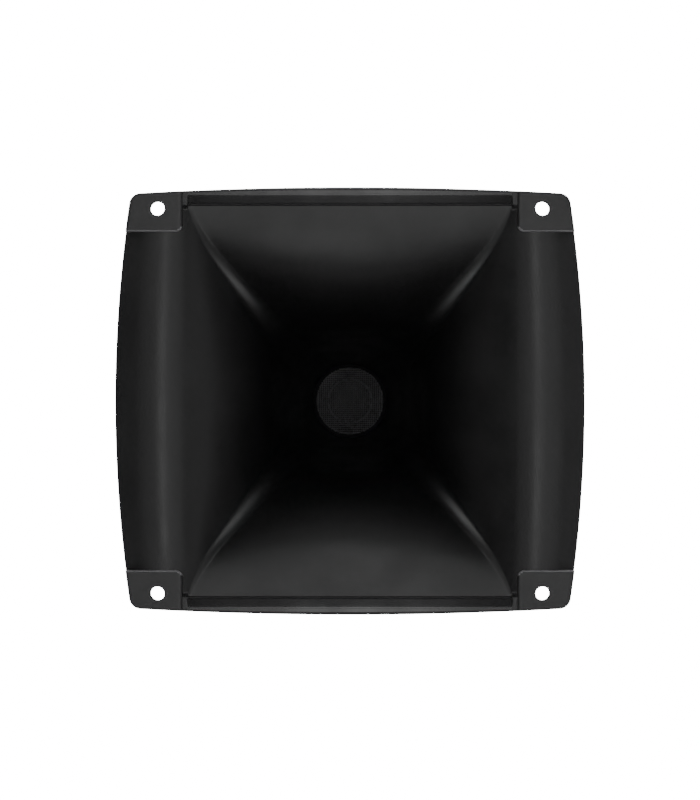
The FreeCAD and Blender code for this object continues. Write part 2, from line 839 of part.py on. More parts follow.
# ---------------------------------------------------------------------------
# Phase plug and diaphragm
# ---------------------------------------------------------------------------
def dome_cap(base_radius, height, y_base):
    """A solid spherical cap that stands on a disc at y_base and swells towards +Y."""
    sphere_radius = (base_radius ** 2 + height ** 2) / (2 * height)
    centre = Vector(0, y_base + height - sphere_radius, 0)
    ball = Part.makeSphere(sphere_radius, centre)
    reach = 2 * base_radius
    slab = Part.makeBox(2 * reach, height + 1, 2 * reach, Vector(-reach, y_base, -reach))
    return ball.common(slab)


plug_seat = rod("plug_seat", dim("plug_seat_radius"), dim("plug_seat_depth"), 0, y_plug_seat, 0)
plug_top = feature(
    "plug_top",
    dome_cap(dim("plug_seat_radius").value, dim("plug_crown").value, y_pole_end.value),
)
plug_body = fuse("plug_body", [plug_seat, plug_top])
plug_slots = []
for tag, radius in (("inner", dim("plug_slot_inner")), ("outer", dim("plug_slot_outer"))):
    y_slot = y_plug_seat - dim("cutter_overlap")
    wide = rod(f"slot_{tag}_wide", radius, far, 0, y_slot, 0)
    core = rod(f"slot_{tag}_core", radius - dim("plug_slot_width"), far, 0, y_slot, 0)
    plug_slots.append(cut(f"slot_{tag}", wide, [core]))
bridge_depth = dim("plug_seat_depth") - dim("bridge_gap")
bridge_long = box(
    "bridge_long", dim("bridge_length"), bridge_depth, dim("bridge_width"),
    dim("bridge_length") / -2, y_plug_seat, dim("bridge_width") / -2,
)
bridge_tall = box(
    "bridge_tall", dim("bridge_width"), bridge_depth, dim("bridge_length"),
    dim("bridge_width") / -2, y_plug_seat, dim("bridge_length") / -2,
)
plug_slotted = cut("plug_slotted", plug_body, plug_slots)
subpart("phase_plug", fuse("phase_plug_fuse", [plug_slotted, bridge_long, bridge_tall]))

y_dome = y_carrier + dim("dome_lift")


def dome_shell():
    radius = dim("former_radius").value + dim("former_thick").value
    thick = dim("dome_thick").value
    outer = dome_cap(radius, dim("dome_height").value, y_dome.value)
    inner = dome_cap(radius - thick, dim("dome_height").value - thick, y_dome.value)
    return outer.cut(inner)


subpart("diaphragm_dome", feature("dome", dome_shell()))
former_outer = dim("former_radius") + dim("former_thick")
subpart("voice_coil_former", turned("former", [
    (dim("former_radius"), y_dome - dim("former_length")),
    (former_outer, y_dome - dim("former_length")),
    (former_outer, y_dome),
    (dim("former_radius"), y_dome),
]))
y_coil = y_dome - dim("former_length")
subpart("voice_coil", turned("coil", [
    (former_outer, y_coil),
    (former_outer + dim("coil_thick"), y_coil),
    (former_outer + dim("coil_thick"), y_coil + dim("coil_length")),
    (former_outer, y_coil + dim("coil_length")),
]))
subpart("diaphragm_surround", turned("surround", [
    (dim("surround_inner"), y_dome),
    (dim("surround_inner") + dim("surround_flank"), y_dome + dim("surround_rise")),
    (dim("surround_outer") - dim("surround_flank"), y_dome + dim("surround_rise")),
    (dim("surround_outer"), y_dome),
    (dim("surround_outer"), y_dome + dim("surround_thick")),
    (dim("surround_outer") - dim("surround_flank"), y_dome + dim("surround_rise") + dim("surround_thick")),
    (dim("surround_inner") + dim("surround_flank"), y_dome + dim("surround_rise") + dim("surround_thick")),
    (dim("surround_inner"), y_dome + dim("surround_thick")),
]))

carrier_ring = turned("carrier", [
    (dim("carrier_inner"), y_carrier),
    (dim("carrier_outer"), y_carrier),
    (dim("carrier_outer"), y_carrier + dim("carrier_thick")),
    (dim("carrier_inner"), y_carrier + dim("carrier_thick")),
])
carrier_cuts = []
carrier_screws = []
for number, (x, z) in enumerate(carrier_places, start=1):
    carrier_cuts.append(
        rod(f"carrier_hole_{number}", dim("small_screw_radius") + dim("small_clear"),
            dim("carrier_thick"), x, y_carrier, z)
    )
    carrier_screws.append(
        socket_screw(f"carrier_screw_{number}", dim("small_screw_radius"),
                     dim("small_screw_depth") + dim("carrier_thick"), dim("small_head_radius"),
                     dim("small_head_length"), dim("small_hex"), x,
                     y_carrier + dim("carrier_thick"), z, towards=-1)
    )
pins = []
for number, (x, z) in enumerate(pin_places, start=1):
    pin_length = dim("pin_depth") + dim("carrier_thick") + dim("cutter_overlap")
    carrier_cuts.append(rod(f"pin_hole_{number}", dim("pin_radius"), dim("carrier_thick"), x, y_carrier, z))
    pins.append(rod(f"pin_{number}", dim("pin_radius"), pin_length, x, y_carrier - dim("pin_depth"), z))
subpart("diaphragm_ring", cut("carrier_cut", carrier_ring, carrier_cuts))
subpart("diaphragm_screws", group("carrier_screw_group", carrier_screws))
subpart("locating_pins", group("pin_group", pins))

# ---------------------------------------------------------------------------
# Rear cap
# ---------------------------------------------------------------------------
cap_gasket_ring = turned("cap_gasket", [
    (dim("cap_inner_radius"), y_carrier),
    (dim("plate_radius") - dim("cap_gasket_inset"), y_carrier),
    (dim("plate_radius") - dim("cap_gasket_inset"), y_cap),
    (dim("cap_inner_radius"), y_cap),
])
cap_gasket_holes = [
    rod(f"cap_gasket_hole_{number}", dim("cap_screw_radius") + dim("cap_clear"),
        dim("cap_gasket_thick"), x, y_carrier, z)
    for number, (x, z) in enumerate(cap_places, start=1)
]
subpart("cap_gasket", cut("cap_gasket_cut", cap_gasket_ring, cap_gasket_holes))

cap_shell = turned("rear_cap", [
    (0, y_cap_end - dim("cap_roof")),
    (dim("cap_inner_radius") - dim("cap_cove"), y_cap_end - dim("cap_roof")),
    (dim("cap_inner_radius"), y_cap_end - dim("cap_roof") - dim("cap_cove")),
    (dim("cap_inner_radius"), y_cap),
    (dim("plate_radius"), y_cap),
    (dim("plate_radius"), y_cap_end - dim("cap_round")),
    (dim("plate_radius") - dim("cap_round"), y_cap_end),
    (0, y_cap_end),
])
cap_cuts = []
cap_screws = []
screw_seat = y_cap + dim("cap_seat")
over = dim("cutter_overlap")
for number, (x, z) in enumerate(cap_places, start=1):
    hole = dim("cap_screw_radius") + dim("cap_clear")
    sink = dim("cap_head_radius") + dim("cap_sink_clear")
    cap_cuts.append(rod(f"cap_hole_{number}", hole, far, x, y_cap - over, z))
    cap_cuts.append(rod(f"cap_sink_{number}", sink, far, x, screw_seat, z))
    cap_screws.append(
        socket_screw(f"cap_screw_{number}", dim("cap_screw_radius"),
                     dim("cap_screw_depth") + dim("cap_gasket_thick") + dim("cap_seat"),
                     dim("cap_head_radius"),
                     dim("cap_head_length"), dim("cap_hex"), x, screw_seat, z, towards=-1)
    )
TERMINAL_SIDES = (("red", -1), ("black", 1))
for tag, side in TERMINAL_SIDES:
    cap_cuts.append(
        rod(f"contact_way_{tag}", dim("contact_radius") + dim("contact_clear"), dim("cap_roof") + over * 2,
            dim("terminal_pitch") / 2 * side, y_cap_end - dim("cap_roof") - over, dim("terminal_z"))
    )
    cap_cuts.append(
        rod(f"base_tap_{tag}", dim("small_screw_radius"), dim("cap_roof") - over,
            (dim("terminal_width") / 2 - dim("terminal_screw_inset")) * side,
            y_cap_end - dim("cap_roof") + over, dim("terminal_z"))
    )
subpart("rear_cap", cut("rear_cap_cut", cap_shell, cap_cuts))
subpart("cap_screws", group("cap_screw_group", cap_screws))
y_foam = y_cap_end - dim("cap_roof") - dim("cap_foam_thick")
foam_disc = rod("foam_disc", dim("cap_foam_radius"), dim("cap_foam_thick"), 0, y_foam, 0)
foam_notch = box(
    "foam_notch", dim("terminal_pitch") + dim("foam_notch_margin") * 2, dim("cap_foam_thick"), far,
    dim("terminal_pitch") / -2 - dim("foam_notch_margin"), y_foam,
    dim("terminal_z") - dim("foam_notch_drop"),
)
subpart("cap_foam", cut("cap_foam_cut", foam_disc, [foam_notch]))

# ---------------------------------------------------------------------------
# Push terminals on the cap's rear face
# ---------------------------------------------------------------------------
y_base = y_cap_end
y_sleeve = y_base + dim("terminal_base")
y_sleeve_end = y_sleeve + dim("sleeve_length")
base_plate = box(
    "terminal_plate", dim("terminal_width"), dim("terminal_base"), dim("terminal_height"),
    dim("terminal_width") / -2, y_base, dim("terminal_z") - dim("terminal_height") / 2,
)
rounded_plate = doc.addObject("Part::Fillet", "terminal_plate_round")
rounded_plate.Base = base_plate
doc.recompute()
upright_edges = [
    number
    for number, edge in enumerate(base_plate.Shape.Edges, start=1)
    if abs(edge.Vertexes[0].Y - edge.Vertexes[-1].Y) > 1
]
plate_round = dim("terminal_corner").value
rounded_plate.Edges = [(edge, plate_round, plate_round) for edge in upright_edges]
block_parts = [rounded_plate]
block_cuts = []
terminal_screws = []
contacts = []
for tag, side in TERMINAL_SIDES:
    x = dim("terminal_pitch") / 2 * side
    z = dim("terminal_z")
    block_parts.append(rod(f"sleeve_{tag}", dim("sleeve_radius"), dim("sleeve_length"), x, y_sleeve, z))
    block_cuts.append(
        rod(f"sleeve_bore_{tag}", dim("button_radius") + dim("button_clear"),
            dim("sleeve_length") + over, x, y_sleeve, z)
    )
    block_cuts.append(rod(f"contact_bore_{tag}", dim("contact_radius"), far, x, y_base - over, z))
    # the cable's bare end goes in here, across the sleeve
    way = dim("wire_way")
    y_way = y_sleeve + dim("way_rise")
    block_cuts.append(box(f"wire_way_{tag}", way, way, dim("sleeve_radius") * 2, x - way / 2, y_way, z))
    screw_x = (dim("terminal_width") / 2 - dim("terminal_screw_inset")) * side
    base_hole = dim("small_screw_radius") + dim("small_clear")
    block_cuts.append(rod(f"base_hole_{tag}", base_hole, far, screw_x, y_base - over, z))
    terminal_screws.append(
        socket_screw(f"terminal_screw_{tag}", dim("small_screw_radius"),
                     dim("terminal_base") + dim("cap_roof") - over, dim("small_head_radius"),
                     dim("small_head_length"), dim("small_hex"), screw_x, y_sleeve, z,
                     towards=-1)
    )
    stem = rod(f"contact_stem_{tag}", dim("contact_radius"), dim("contact_length"), x,
               y_sleeve + dim("contact_rise") - dim("contact_length"), z)
    contacts.append(stem)
    y_button_end = y_sleeve_end + dim("button_rise")
    y_button = y_button_end - dim("button_rise") - dim("button_foot")
    shell = rod(f"button_shell_{tag}", dim("button_radius"), dim("button_rise") + dim("button_foot"),
                x, y_button, z)
    well = rod(f"button_well_{tag}", dim("button_radius") - dim("button_wall"),
               dim("button_rise") + dim("button_foot") - dim("button_roof"), x, y_button, z)
    # this slot lines up with the sleeve's once the button is pressed
    slot = box(f"button_slot_{tag}", way, way, dim("sleeve_radius") * 2, x - way / 2,
               y_way + dim("button_travel"), z)
    subpart(f"terminal_button_{tag}", cut(f"button_cut_{tag}", shell, [well, slot]))
subpart("terminal_block", cut("terminal_cut", fuse("terminal_blank", block_parts), block_cuts))
subpart("terminal_screws", group("terminal_screw_group", terminal_screws))
subpart("terminal_contacts", group("contact_group", contacts))


spring_low = y_sleeve + dim("spring_gap")
spring_length = y_button_end - dim("button_roof") - dim("spring_gap") - spring_low
for tag, side in TERMINAL_SIDES:
    # the tube that the spring's coils fill
    spring_place = (dim("terminal_pitch") / 2 * side, spring_low, dim("terminal_z"))
    outside = dim("spring_radius") + dim("spring_wire")
    inside = dim("spring_radius") - dim("spring_wire")
    outer = rod(f"spring_outer_{tag}", outside, spring_length, *spring_place)
    inner = rod(f"spring_inner_{tag}", inside, spring_length, *spring_place)
    subpart(f"terminal_spring_{tag}", cut(f"spring_{tag}", outer, [inner]))

# ---------------------------------------------------------------------------
# Solder tabs on the diaphragm's ring and the two leads to the terminals
# ---------------------------------------------------------------------------
y_tab = y_carrier + dim("carrier_thick")
tabs = []
for tag, side in TERMINAL_SIDES:
    tabs.append(
        box(f"tab_{tag}", dim("tab_width"), dim("tab_thick"), dim("tab_length"),
            dim("terminal_pitch") / 2 * side - dim("tab_width") / 2, y_tab,
            dim("carrier_inner") + dim("tab_step"))
    )
subpart("solder_tabs", group("tab_group", tabs))


def lead(x, z_tab, z_post, y_start, y_end):
    """A lead from a tab to a contact: two straight runs joined by tangent arcs."""
    rise = (y_end - y_start) / 2
    shift = z_post - z_tab
    bend_share = dim("lead_bend").value
    points = [
        Vector(x, y_start, z_tab),
        Vector(x, y_start + rise, z_tab),
        Vector(x, y_start + rise, z_post),
        Vector(x, y_end, z_post),
    ]
    radius = min(rise, abs(shift)) * bend_share
    step = math.copysign(radius, shift)
    cos45 = math.sqrt(0.5)
    first_in = points[1] - Vector(0, radius, 0)
    first_out = points[1] + Vector(0, 0, step)
    first_mid = points[1] + Vector(0, -radius * (1 - cos45), step * (1 - cos45))
    last_in = points[2] - Vector(0, 0, step)
    last_out = points[2] + Vector(0, radius, 0)
    last_mid = points[2] + Vector(0, radius * (1 - cos45), -step * (1 - cos45))
    path = Part.Wire([
        Part.LineSegment(points[0], first_in).toShape(),
        Part.Arc(first_in, first_mid, first_out).toShape(),
        Part.LineSegment(first_out, last_in).toShape(),
        Part.Arc(last_in, last_mid, last_out).toShape(),
        Part.LineSegment(last_out, points[3]).toShape(),
    ])
    circle = Part.Wire(Part.makeCircle(dim("wire_radius").value, points[0], Vector(0, 1, 0)))
    return path.makePipeShell([circle], True, False)


lead_low = number_of(y_tab + dim("tab_thick"))
lead_high = number_of(y_sleeve + dim("contact_rise") - dim("contact_length"))
for tag, side in TERMINAL_SIDES:
    lead_x = number_of(dim("terminal_pitch") / 2 * side)
    z_tab = dim("carrier_inner").value + dim("lead_step").value
    wire = lead(lead_x, z_tab, dim("terminal_z").value, lead_low, lead_high)
    subpart(f"lead_wire_{tag}", feature(f"lead_{tag}", wire))

# ---------------------------------------------------------------------------
# Checks, then one STEP file for each sub-part
# ---------------------------------------------------------------------------
doc.recompute()
for obj in doc.Objects:
    if "Invalid" in obj.State or "Error" in obj.State:
        raise RuntimeError(f"{obj.Name} failed: {obj.State}")
for solid in SUBPARTS:
    if solid.Shape.isNull() or not solid.Shape.isValid():
        raise RuntimeError(f"{solid.Label} has no valid shape")

os.makedirs("parts", exist_ok=True)
for solid in SUBPARTS:
    solid.Shape.exportStep(f"parts/{solid.Label}.step")
    print(solid.Label, len(solid.Shape.Solids), round(solid.Shape.Volume, 1))
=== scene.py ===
import json
from math import acos, asin, atan2, copysign, cos, exp, hypot, pi, radians, sin, sqrt, tan

import bmesh
import bpy
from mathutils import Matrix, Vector, geometry

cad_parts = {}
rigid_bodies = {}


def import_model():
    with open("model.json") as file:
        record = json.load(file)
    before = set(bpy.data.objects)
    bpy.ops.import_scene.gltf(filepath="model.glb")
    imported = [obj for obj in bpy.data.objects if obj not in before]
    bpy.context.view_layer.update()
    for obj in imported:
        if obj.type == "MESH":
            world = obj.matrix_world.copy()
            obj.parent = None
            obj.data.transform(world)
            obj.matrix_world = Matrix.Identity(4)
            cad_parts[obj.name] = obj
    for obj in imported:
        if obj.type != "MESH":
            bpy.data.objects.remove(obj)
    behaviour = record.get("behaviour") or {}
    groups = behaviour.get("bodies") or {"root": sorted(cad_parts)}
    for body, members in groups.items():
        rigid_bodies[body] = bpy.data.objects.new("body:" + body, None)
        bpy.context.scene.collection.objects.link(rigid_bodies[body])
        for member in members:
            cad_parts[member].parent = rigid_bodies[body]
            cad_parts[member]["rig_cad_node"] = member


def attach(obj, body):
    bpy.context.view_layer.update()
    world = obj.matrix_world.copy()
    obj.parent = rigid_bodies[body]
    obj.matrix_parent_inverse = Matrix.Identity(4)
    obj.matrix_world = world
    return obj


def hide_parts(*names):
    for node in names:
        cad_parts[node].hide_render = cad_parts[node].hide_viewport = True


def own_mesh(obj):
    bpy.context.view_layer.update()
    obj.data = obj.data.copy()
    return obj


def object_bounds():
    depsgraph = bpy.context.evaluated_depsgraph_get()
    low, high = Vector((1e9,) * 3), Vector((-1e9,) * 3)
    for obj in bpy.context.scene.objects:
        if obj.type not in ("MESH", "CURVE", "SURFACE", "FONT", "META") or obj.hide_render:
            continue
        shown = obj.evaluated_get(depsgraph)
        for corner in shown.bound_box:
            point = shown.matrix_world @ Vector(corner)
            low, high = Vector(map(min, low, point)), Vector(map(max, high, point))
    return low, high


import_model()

cad_low, cad_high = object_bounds()

# The camera, the lights and the room are in metres. Every other length is in millimetres, and turned into
# metres where a mesh or object is made.
MM = 0.001


# --- Camera, lights and surroundings ---
CAMERA_DISTANCE = 3.0
CAMERA_RISE = 0.0005
CAMERA_LENS = 272.0
SENSOR = 36.0
WHITE = 16.5
ROOM = 9
FLOOR_GAP = 0.0005
REACH = 1.0


def new_object(name, data):
    item = bpy.data.objects.new(name, data)
    bpy.context.scene.collection.objects.link(item)
    return item


def make_camera():
    data = bpy.data.cameras.new("camera")
    data.lens = CAMERA_LENS
    data.sensor_width = SENSOR
    data.clip_start = 0.1
    data.clip_end = 50.0
    camera = new_object("camera", data)
    camera.location = (0, -CAMERA_DISTANCE, CAMERA_RISE)
    camera.rotation_euler = (radians(90), 0, 0)
    bpy.context.scene.camera = camera


def backdrop(name, corners):
    """A plain sheet that glows evenly for the camera and takes no part in lighting the object."""
    mesh = bpy.data.meshes.new(name)
    mesh.from_pydata(corners, [], [(0, 1, 2, 3)])
    sheet = new_object(name, mesh)
    material = bpy.data.materials.new(name)
    material.use_nodes = True
    nodes = material.node_tree.nodes
    nodes.clear()
    glow = nodes.new("ShaderNodeEmission")
    glow.inputs["Color"].default_value = (1.0, 1.0, 1.0, 1.0)
    glow.inputs["Strength"].default_value = WHITE
    out = nodes.new("ShaderNodeOutputMaterial")
    material.node_tree.links.new(glow.outputs[0], out.inputs["Surface"])
    mesh.materials.append(material)
    sheet.visible_diffuse = False
    sheet.visible_glossy = False
    sheet.visible_shadow = False


make_camera()
SQUARE = ((-ROOM, -ROOM), (ROOM, -ROOM), (ROOM, ROOM), (-ROOM, ROOM))
backdrop("floor", [(u, v, cad_low.z - FLOOR_GAP) for u, v in SQUARE])
backdrop("wall_back", [(u, ROOM, v) for u, v in SQUARE])
backdrop("wall_front", [(u, -ROOM, v) for u, v in SQUARE])
backdrop("wall_left", [(-ROOM, u, v) for u, v in SQUARE])
backdrop("wall_right", [(ROOM, u, v) for u, v in SQUARE])

world = bpy.data.worlds.new("studio")
world.use_nodes = True
world.node_tree.nodes["Background"].inputs["Color"].default_value = (1, 1, 1, 1)
world.node_tree.nodes["Background"].inputs["Strength"].default_value = 0.0
bpy.context.scene.world = world


def panel(name, azimuth, elevation, across, upright, glow):
    """A soft light that faces the object; directions and extents in degrees, brightness per area."""
    turn, rise = radians(azimuth), radians(elevation)
    place = Vector((
        REACH * sin(turn) * cos(rise),
        -REACH * cos(turn) * cos(rise),
        REACH * sin(rise),
    ))
    width = 2 * REACH * tan(radians(across / 2))
    height = 2 * REACH * tan(radians(upright / 2))
    data = bpy.data.lights.new(name, "AREA")
    data.shape = "RECTANGLE"
    data.size = width
    data.size_y = height
    data.energy = glow * pi * width * height
    lamp = new_object(name, data)
    lamp.location = place
    lamp.rotation_mode = "QUATERNION"
    lamp.rotation_quaternion = (Vector((0, 0, 0)) - place).to_track_quat("-Z", "Y")
    lamp.visible_camera = False


# Soft lights on a sphere round the object. Before it: a panel on the axis, an upright strip and a high
# crown above and below, fill and corner lights for the horn's four corners, and panels to both sides, the
# right brighter than the left. Behind it: four more for the horn's back and the driver.
panel("front", 0, 0, 13, 18, 2.2)
for side, word in ((1, "above"), (-1, "below")):
    panel("strip_" + word, 0, side * 36, 9, 56, 3.5)
    panel("crown_" + word, 0, side * 86, 10, 20, 1.2)
    for hand, half in ((1, "right"), (-1, "left")):
        panel(f"fill_{word}_{half}", hand * 30, side * 22, 16, 18, 1.45)
        panel(f"corner_{word}_{half}", hand * 76, side * 40, 18, 38, 3.8)
panel("panel_right", 30, 0, 48, 20, 0.95)
panel("panel_left", -30, 0, 48, 20, 0.5)
panel("side_right", 72, 0, 12, 20, 0.9)
panel("back_right", 140, 25, 44, 50, 2.4)
panel("back_left", -140, 15, 44, 50, 1.7)
panel("back_above", 180, 62, 50, 34, 2.2)
panel("back_below", 180, -40, 60, 24, 0.8)


# --- Mesh tools ---
POINT_DIGITS, WELD, SHARP_DEGREES = 4, 2.5e-6, 38.0


def round_about(x, z, radius, angle):
    """The place at an angle on a circle round another place."""
    return x + radius * cos(angle), z + radius * sin(angle)


class Shell:
    """Points and faces in millimetres. Points that fall on the same place are one point."""

    def __init__(self):
        self.points = []
        self.faces = []
        self.known = {}

    def point(self, place):
        key = tuple(round(value, POINT_DIGITS) + 0.0 for value in place)
        if key not in self.known:
            self.known[key] = len(self.points)
            self.points.append(place)
        return self.known[key]

    def face(self, places, flip=False):
        numbers = []
        for place in places:
            number = self.point(place)
            if number not in numbers:
                numbers.append(number)
        if len(numbers) > 2:
            self.faces.append(numbers[::-1] if flip else numbers)

    def grid(self, rows, flip=False):
        for low, high in zip(rows, rows[1:]):
            for index in range(len(low) - 1):
                self.face([low[index], low[index + 1], high[index + 1], high[index]], flip)

    def tube(self, loops):
        """A grid whose rows close on themselves."""
        self.grid([loop + loop[:1] for loop in loops])

    def capped(self, loops):
        """A tube with a face on both ends."""
        self.tube(loops)
        self.face(loops[0])
        self.face(loops[-1])


def shade_smooth(mesh, sharp_degrees):
    for polygon in mesh.polygons:
        polygon.use_smooth = True
    mesh.set_sharp_from_angle(angle=radians(sharp_degrees))


def finish_mesh(name, mesh, sharp_degrees=SHARP_DEGREES):
    shade_smooth(mesh, sharp_degrees)
    return new_object(name, mesh)


# --- Horn: sizes, as in the CAD model ---
Y_LIP = -7.0
HORN_DEPTH = 138.0
THROAT_RADIUS = 19.05
MOUTH_CORNER = 2.0
CORNER_GROWTH = 0.9
BEND_ANGLE = 45.0
TOP_BOW = (5.0, 20.0)
SIDE_BOW = (3.5, 30.0)
SIDE_MOUTH_BOW = 3000.0
WALL_THICK = 4.0
NEAR_STRAIGHT = 1e-5
SEARCH_STEPS = 40
SAME_CURVE = 1e-6
# where a corner arc meets the sides of a section that is one whole circle
ROUND_LOW, ROUND_HIGH = 22.5, 67.5


class Wall:
    """Half opening against depth behind the lip: a lip arc, a bend arc, then a straight cone."""

    def __init__(self, mouth, lip_angle, lip_arc, cone_angle):
        self.mouth = mouth
        self.lip = radians(lip_angle)
        self.arc = lip_arc
        self.bend = radians(BEND_ANGLE)
        self.cone = radians(cone_angle)
        self.depth_1 = lip_arc * (sin(self.lip) - sin(self.bend))
        self.half_1 = mouth - lip_arc * (cos(self.bend) - cos(self.lip))
        run = HORN_DEPTH - self.depth_1
        drop = self.half_1 - THROAT_RADIUS
        run_rate = sin(self.bend) - sin(self.cone)
        drop_rate = cos(self.cone) - cos(self.bend)
        slope = tan(self.cone)
        self.bend_arc = (drop - run * slope) / (drop_rate - run_rate * slope)
        self.depth_2 = self.depth_1 + self.bend_arc * run_rate

    def at(self, depth):
        if depth <= self.depth_1:
            angle = asin(sin(self.lip) - max(depth, 0.0) / self.arc)
            return self.mouth - self.arc * (cos(angle) - cos(self.lip)), angle
        if depth <= self.depth_2:
            angle = asin(sin(self.bend) - (depth - self.depth_1) / self.bend_arc)
            half = self.half_1 - self.bend_arc * (cos(angle) - cos(self.bend))
            return half, angle
        return THROAT_RADIUS + (HORN_DEPTH - depth) * tan(self.cone), self.cone

    def outside(self, depth, thick):
        low, high = 0.0, HORN_DEPTH
        for _ in range(SEARCH_STEPS):
            middle = (low + high) / 2
            half, angle = self.at(middle)
            if middle + thick * sin(angle) < depth:
                low = middle
            else:
                high = middle
        return half + thick * cos(angle)


TOP_WALL = Wall(96.7, 80.0, 70.0, 12.0)
SIDE_WALL = Wall(81.5, 60.0, 88.0, 13.4)


def inward_bow(depth, peak, peak_depth):
    share = max(depth, 0.0) / peak_depth
    return peak * share * exp(1 - share)


def near_straight(curve):
    return copysign(max(abs(curve), NEAR_STRAIGHT), curve)


def long_curves(depth, half_w, half_h):
    share = (max(depth, 0.0) / HORN_DEPTH) ** 4
    side_flat = 1 / SIDE_MOUTH_BOW - 2 * inward_bow(depth, *SIDE_BOW) / half_h ** 2
    top_flat = -2 * inward_bow(depth, *TOP_BOW) / half_w ** 2
    side = share / THROAT_RADIUS + (1 - share) * side_flat
    top = share / THROAT_RADIUS + (1 - share) * top_flat
    return near_straight(side), near_straight(top)


def rounded_corner(half_w, half_h, side_curve, top_curve, corner):
    """Centre of the corner arc between two long arcs, and the angles at which it meets them."""
    if abs(side_curve * corner - 1) < SAME_CURVE:
        return 0.0, 0.0, radians(ROUND_LOW), radians(ROUND_HIGH)
    side_radius, top_radius = 1 / side_curve, 1 / top_curve
    x1, z2 = half_w - side_radius, half_h - top_radius
    r1, r2 = abs(side_radius - corner), abs(top_radius - corner)
    gap = hypot(x1, z2)
    along = (r1 * r1 - r2 * r2 + gap * gap) / (2 * gap)
    across = sqrt(r1 * r1 - along * along)
    ux, uz = -x1 / gap, z2 / gap
    crossings = [
        (x1 + along * ux - turn * across * uz, along * uz + turn * across * ux) for turn in (-1, 1)
    ]
    cx, cz = min(crossings, key=lambda p: hypot(half_w - p[0], half_h - p[1]))
    side_sign, top_sign = copysign(1, side_radius), copysign(1, top_radius)
    low = atan2(side_sign * cz, side_sign * (cx - x1))
    high = atan2(top_sign * (cz - z2), top_sign * cx)
    return cx, cz, low, high


class Section:
    """One quarter of the horn's section at a depth, on its inner face or one wall thickness out."""

    def __init__(self, depth, thick=0.0):
        self.half_w, self.half_h = SIDE_WALL.at(depth)[0], TOP_WALL.at(depth)[0]
        self.side_curve, self.top_curve = long_curves(depth, self.half_w, self.half_h)
        if thick:
            self.half_w = SIDE_WALL.outside(depth, thick)
            self.half_h = TOP_WALL.outside(depth, thick)
            self.side_curve = 1 / (1 / self.side_curve + thick)
            self.top_curve = 1 / (1 / self.top_curve + thick)
        share = (max(depth, 0.0) / HORN_DEPTH) ** CORNER_GROWTH
        self.corner = MOUTH_CORNER + (THROAT_RADIUS - MOUTH_CORNER) * share + thick
        self.cx, self.cz, self.low, self.high = rounded_corner(
            self.half_w, self.half_h, self.side_curve, self.top_curve, self.corner
        )
        self.height = -Y_LIP - depth

    def on_corner(self, share):
        angle = self.low + (self.high - self.low) * share
        return round_about(self.cx, self.cz, self.corner, angle)

    def on_side(self, share):
        """From the middle of the side, at share 0, to the corner arc."""
        radius = 1 / self.side_curve
        end_z = self.on_corner(0)[1]
        sweep = asin(end_z / radius) * share
        return self.half_w - radius * (1 - cos(sweep)), radius * sin(sweep)

    def on_top(self, share):
        """From the middle of the top, at share 0, to the corner arc."""
        radius = 1 / self.top_curve
        end_x = self.on_corner(1)[0]
        sweep = asin(end_x / radius) * share
        return radius * sin(sweep), self.half_h - radius * (1 - cos(sweep))


# --- Horn: the flange's front as a height above its rear face ---
OUTLINE_HALF_W, OUTLINE_HALF_H = 116.4, 105.8
OUTLINE_SIDE, OUTLINE_TOP, OUTLINE_CORNER = 665.0, 1800.0, 5.8
FIELD, PAD, LIP = 11.0, 12.0, 7.0
PAD_X, PAD_Z, PAD_CORNER, PAD_ROUND, PAD_DRAFT = 82.8, 83.8, 3.5, 1.2, 0.12
CREST_X, CREST_BOW, CREST = 94.7, 3000.0, 10.6
OUTER_ROLL, OUTER_TILT = 28.0, radians(25)
# the groove is in this mesh only, not in the CAD
GROOVE_END, GROOVE_DEPTH = 97.9, 0.5
BANK_END, BANK_ROUND = 101.9, 1.0
RIM_START = 102.9
STRIP_WALL, STRIP_ROUND = 0.25, 0.5
STRIP_FADE = (94.5, 97.5)
EDGE_BAND = 0.9
PAD_EDGE, CHEEK_EDGE = 0.9, 0.6
PAD_BEND_REACH = 2.2


def smooth(low, high, value):
    share = min(1.0, max(0.0, (value - low) / (high - low)))
    return share * share * (3 - 2 * share)


def fall(radius, distance):
    """How far a rounded edge has dropped at a distance in from its outer end."""
    if distance >= radius:
        return 0.0
    return radius - sqrt(max(0.0, radius * radius - (radius - distance) ** 2))


mouth = Section(0.0)
MOUTH_END_X, MOUTH_END_Z = mouth.on_corner(0)
TOP_END_X, TOP_END_Z = mouth.on_corner(1)


def mouth_side(z):
    z = min(abs(z), MOUTH_END_Z)
    return mouth.on_side(asin(z * mouth.side_curve) / asin(MOUTH_END_Z * mouth.side_curve))[0]


def cheek(x, z):
    inner = mouth_side(z)
    crest = CREST_X - z * z / CREST_BOW
    rise = CREST - LIP
    if x < crest:
        width = crest - inner
        radius = (width * width + rise * rise) / (2 * rise)
        return CREST - radius + sqrt(radius * radius - min(width, crest - x) ** 2)
    out = x - crest
    bend = OUTER_ROLL * sin(OUTER_TILT)
    if out < bend:
        return CREST - OUTER_ROLL + sqrt(OUTER_ROLL ** 2 - out * out)
    return CREST - OUTER_ROLL * (1 - cos(OUTER_TILT)) - (out - bend) * tan(OUTER_TILT)


def bank(z):
    """The groove round the mouth's top edge, the sloped bank above it and the rounded rim."""
    if z < GROOVE_END:
        share = max(0.0, (z - mouth.half_h) / (GROOVE_END - mouth.half_h))
        return LIP - GROOVE_DEPTH * sin(pi * share)
    top = BANK_END + BANK_ROUND * tan(pi / 8)
    if z < top - BANK_ROUND * sin(pi / 4):
        return LIP + z - GROOVE_END
    return FIELD - BANK_ROUND + sqrt(BANK_ROUND ** 2 - max(0.0, top - z) ** 2)


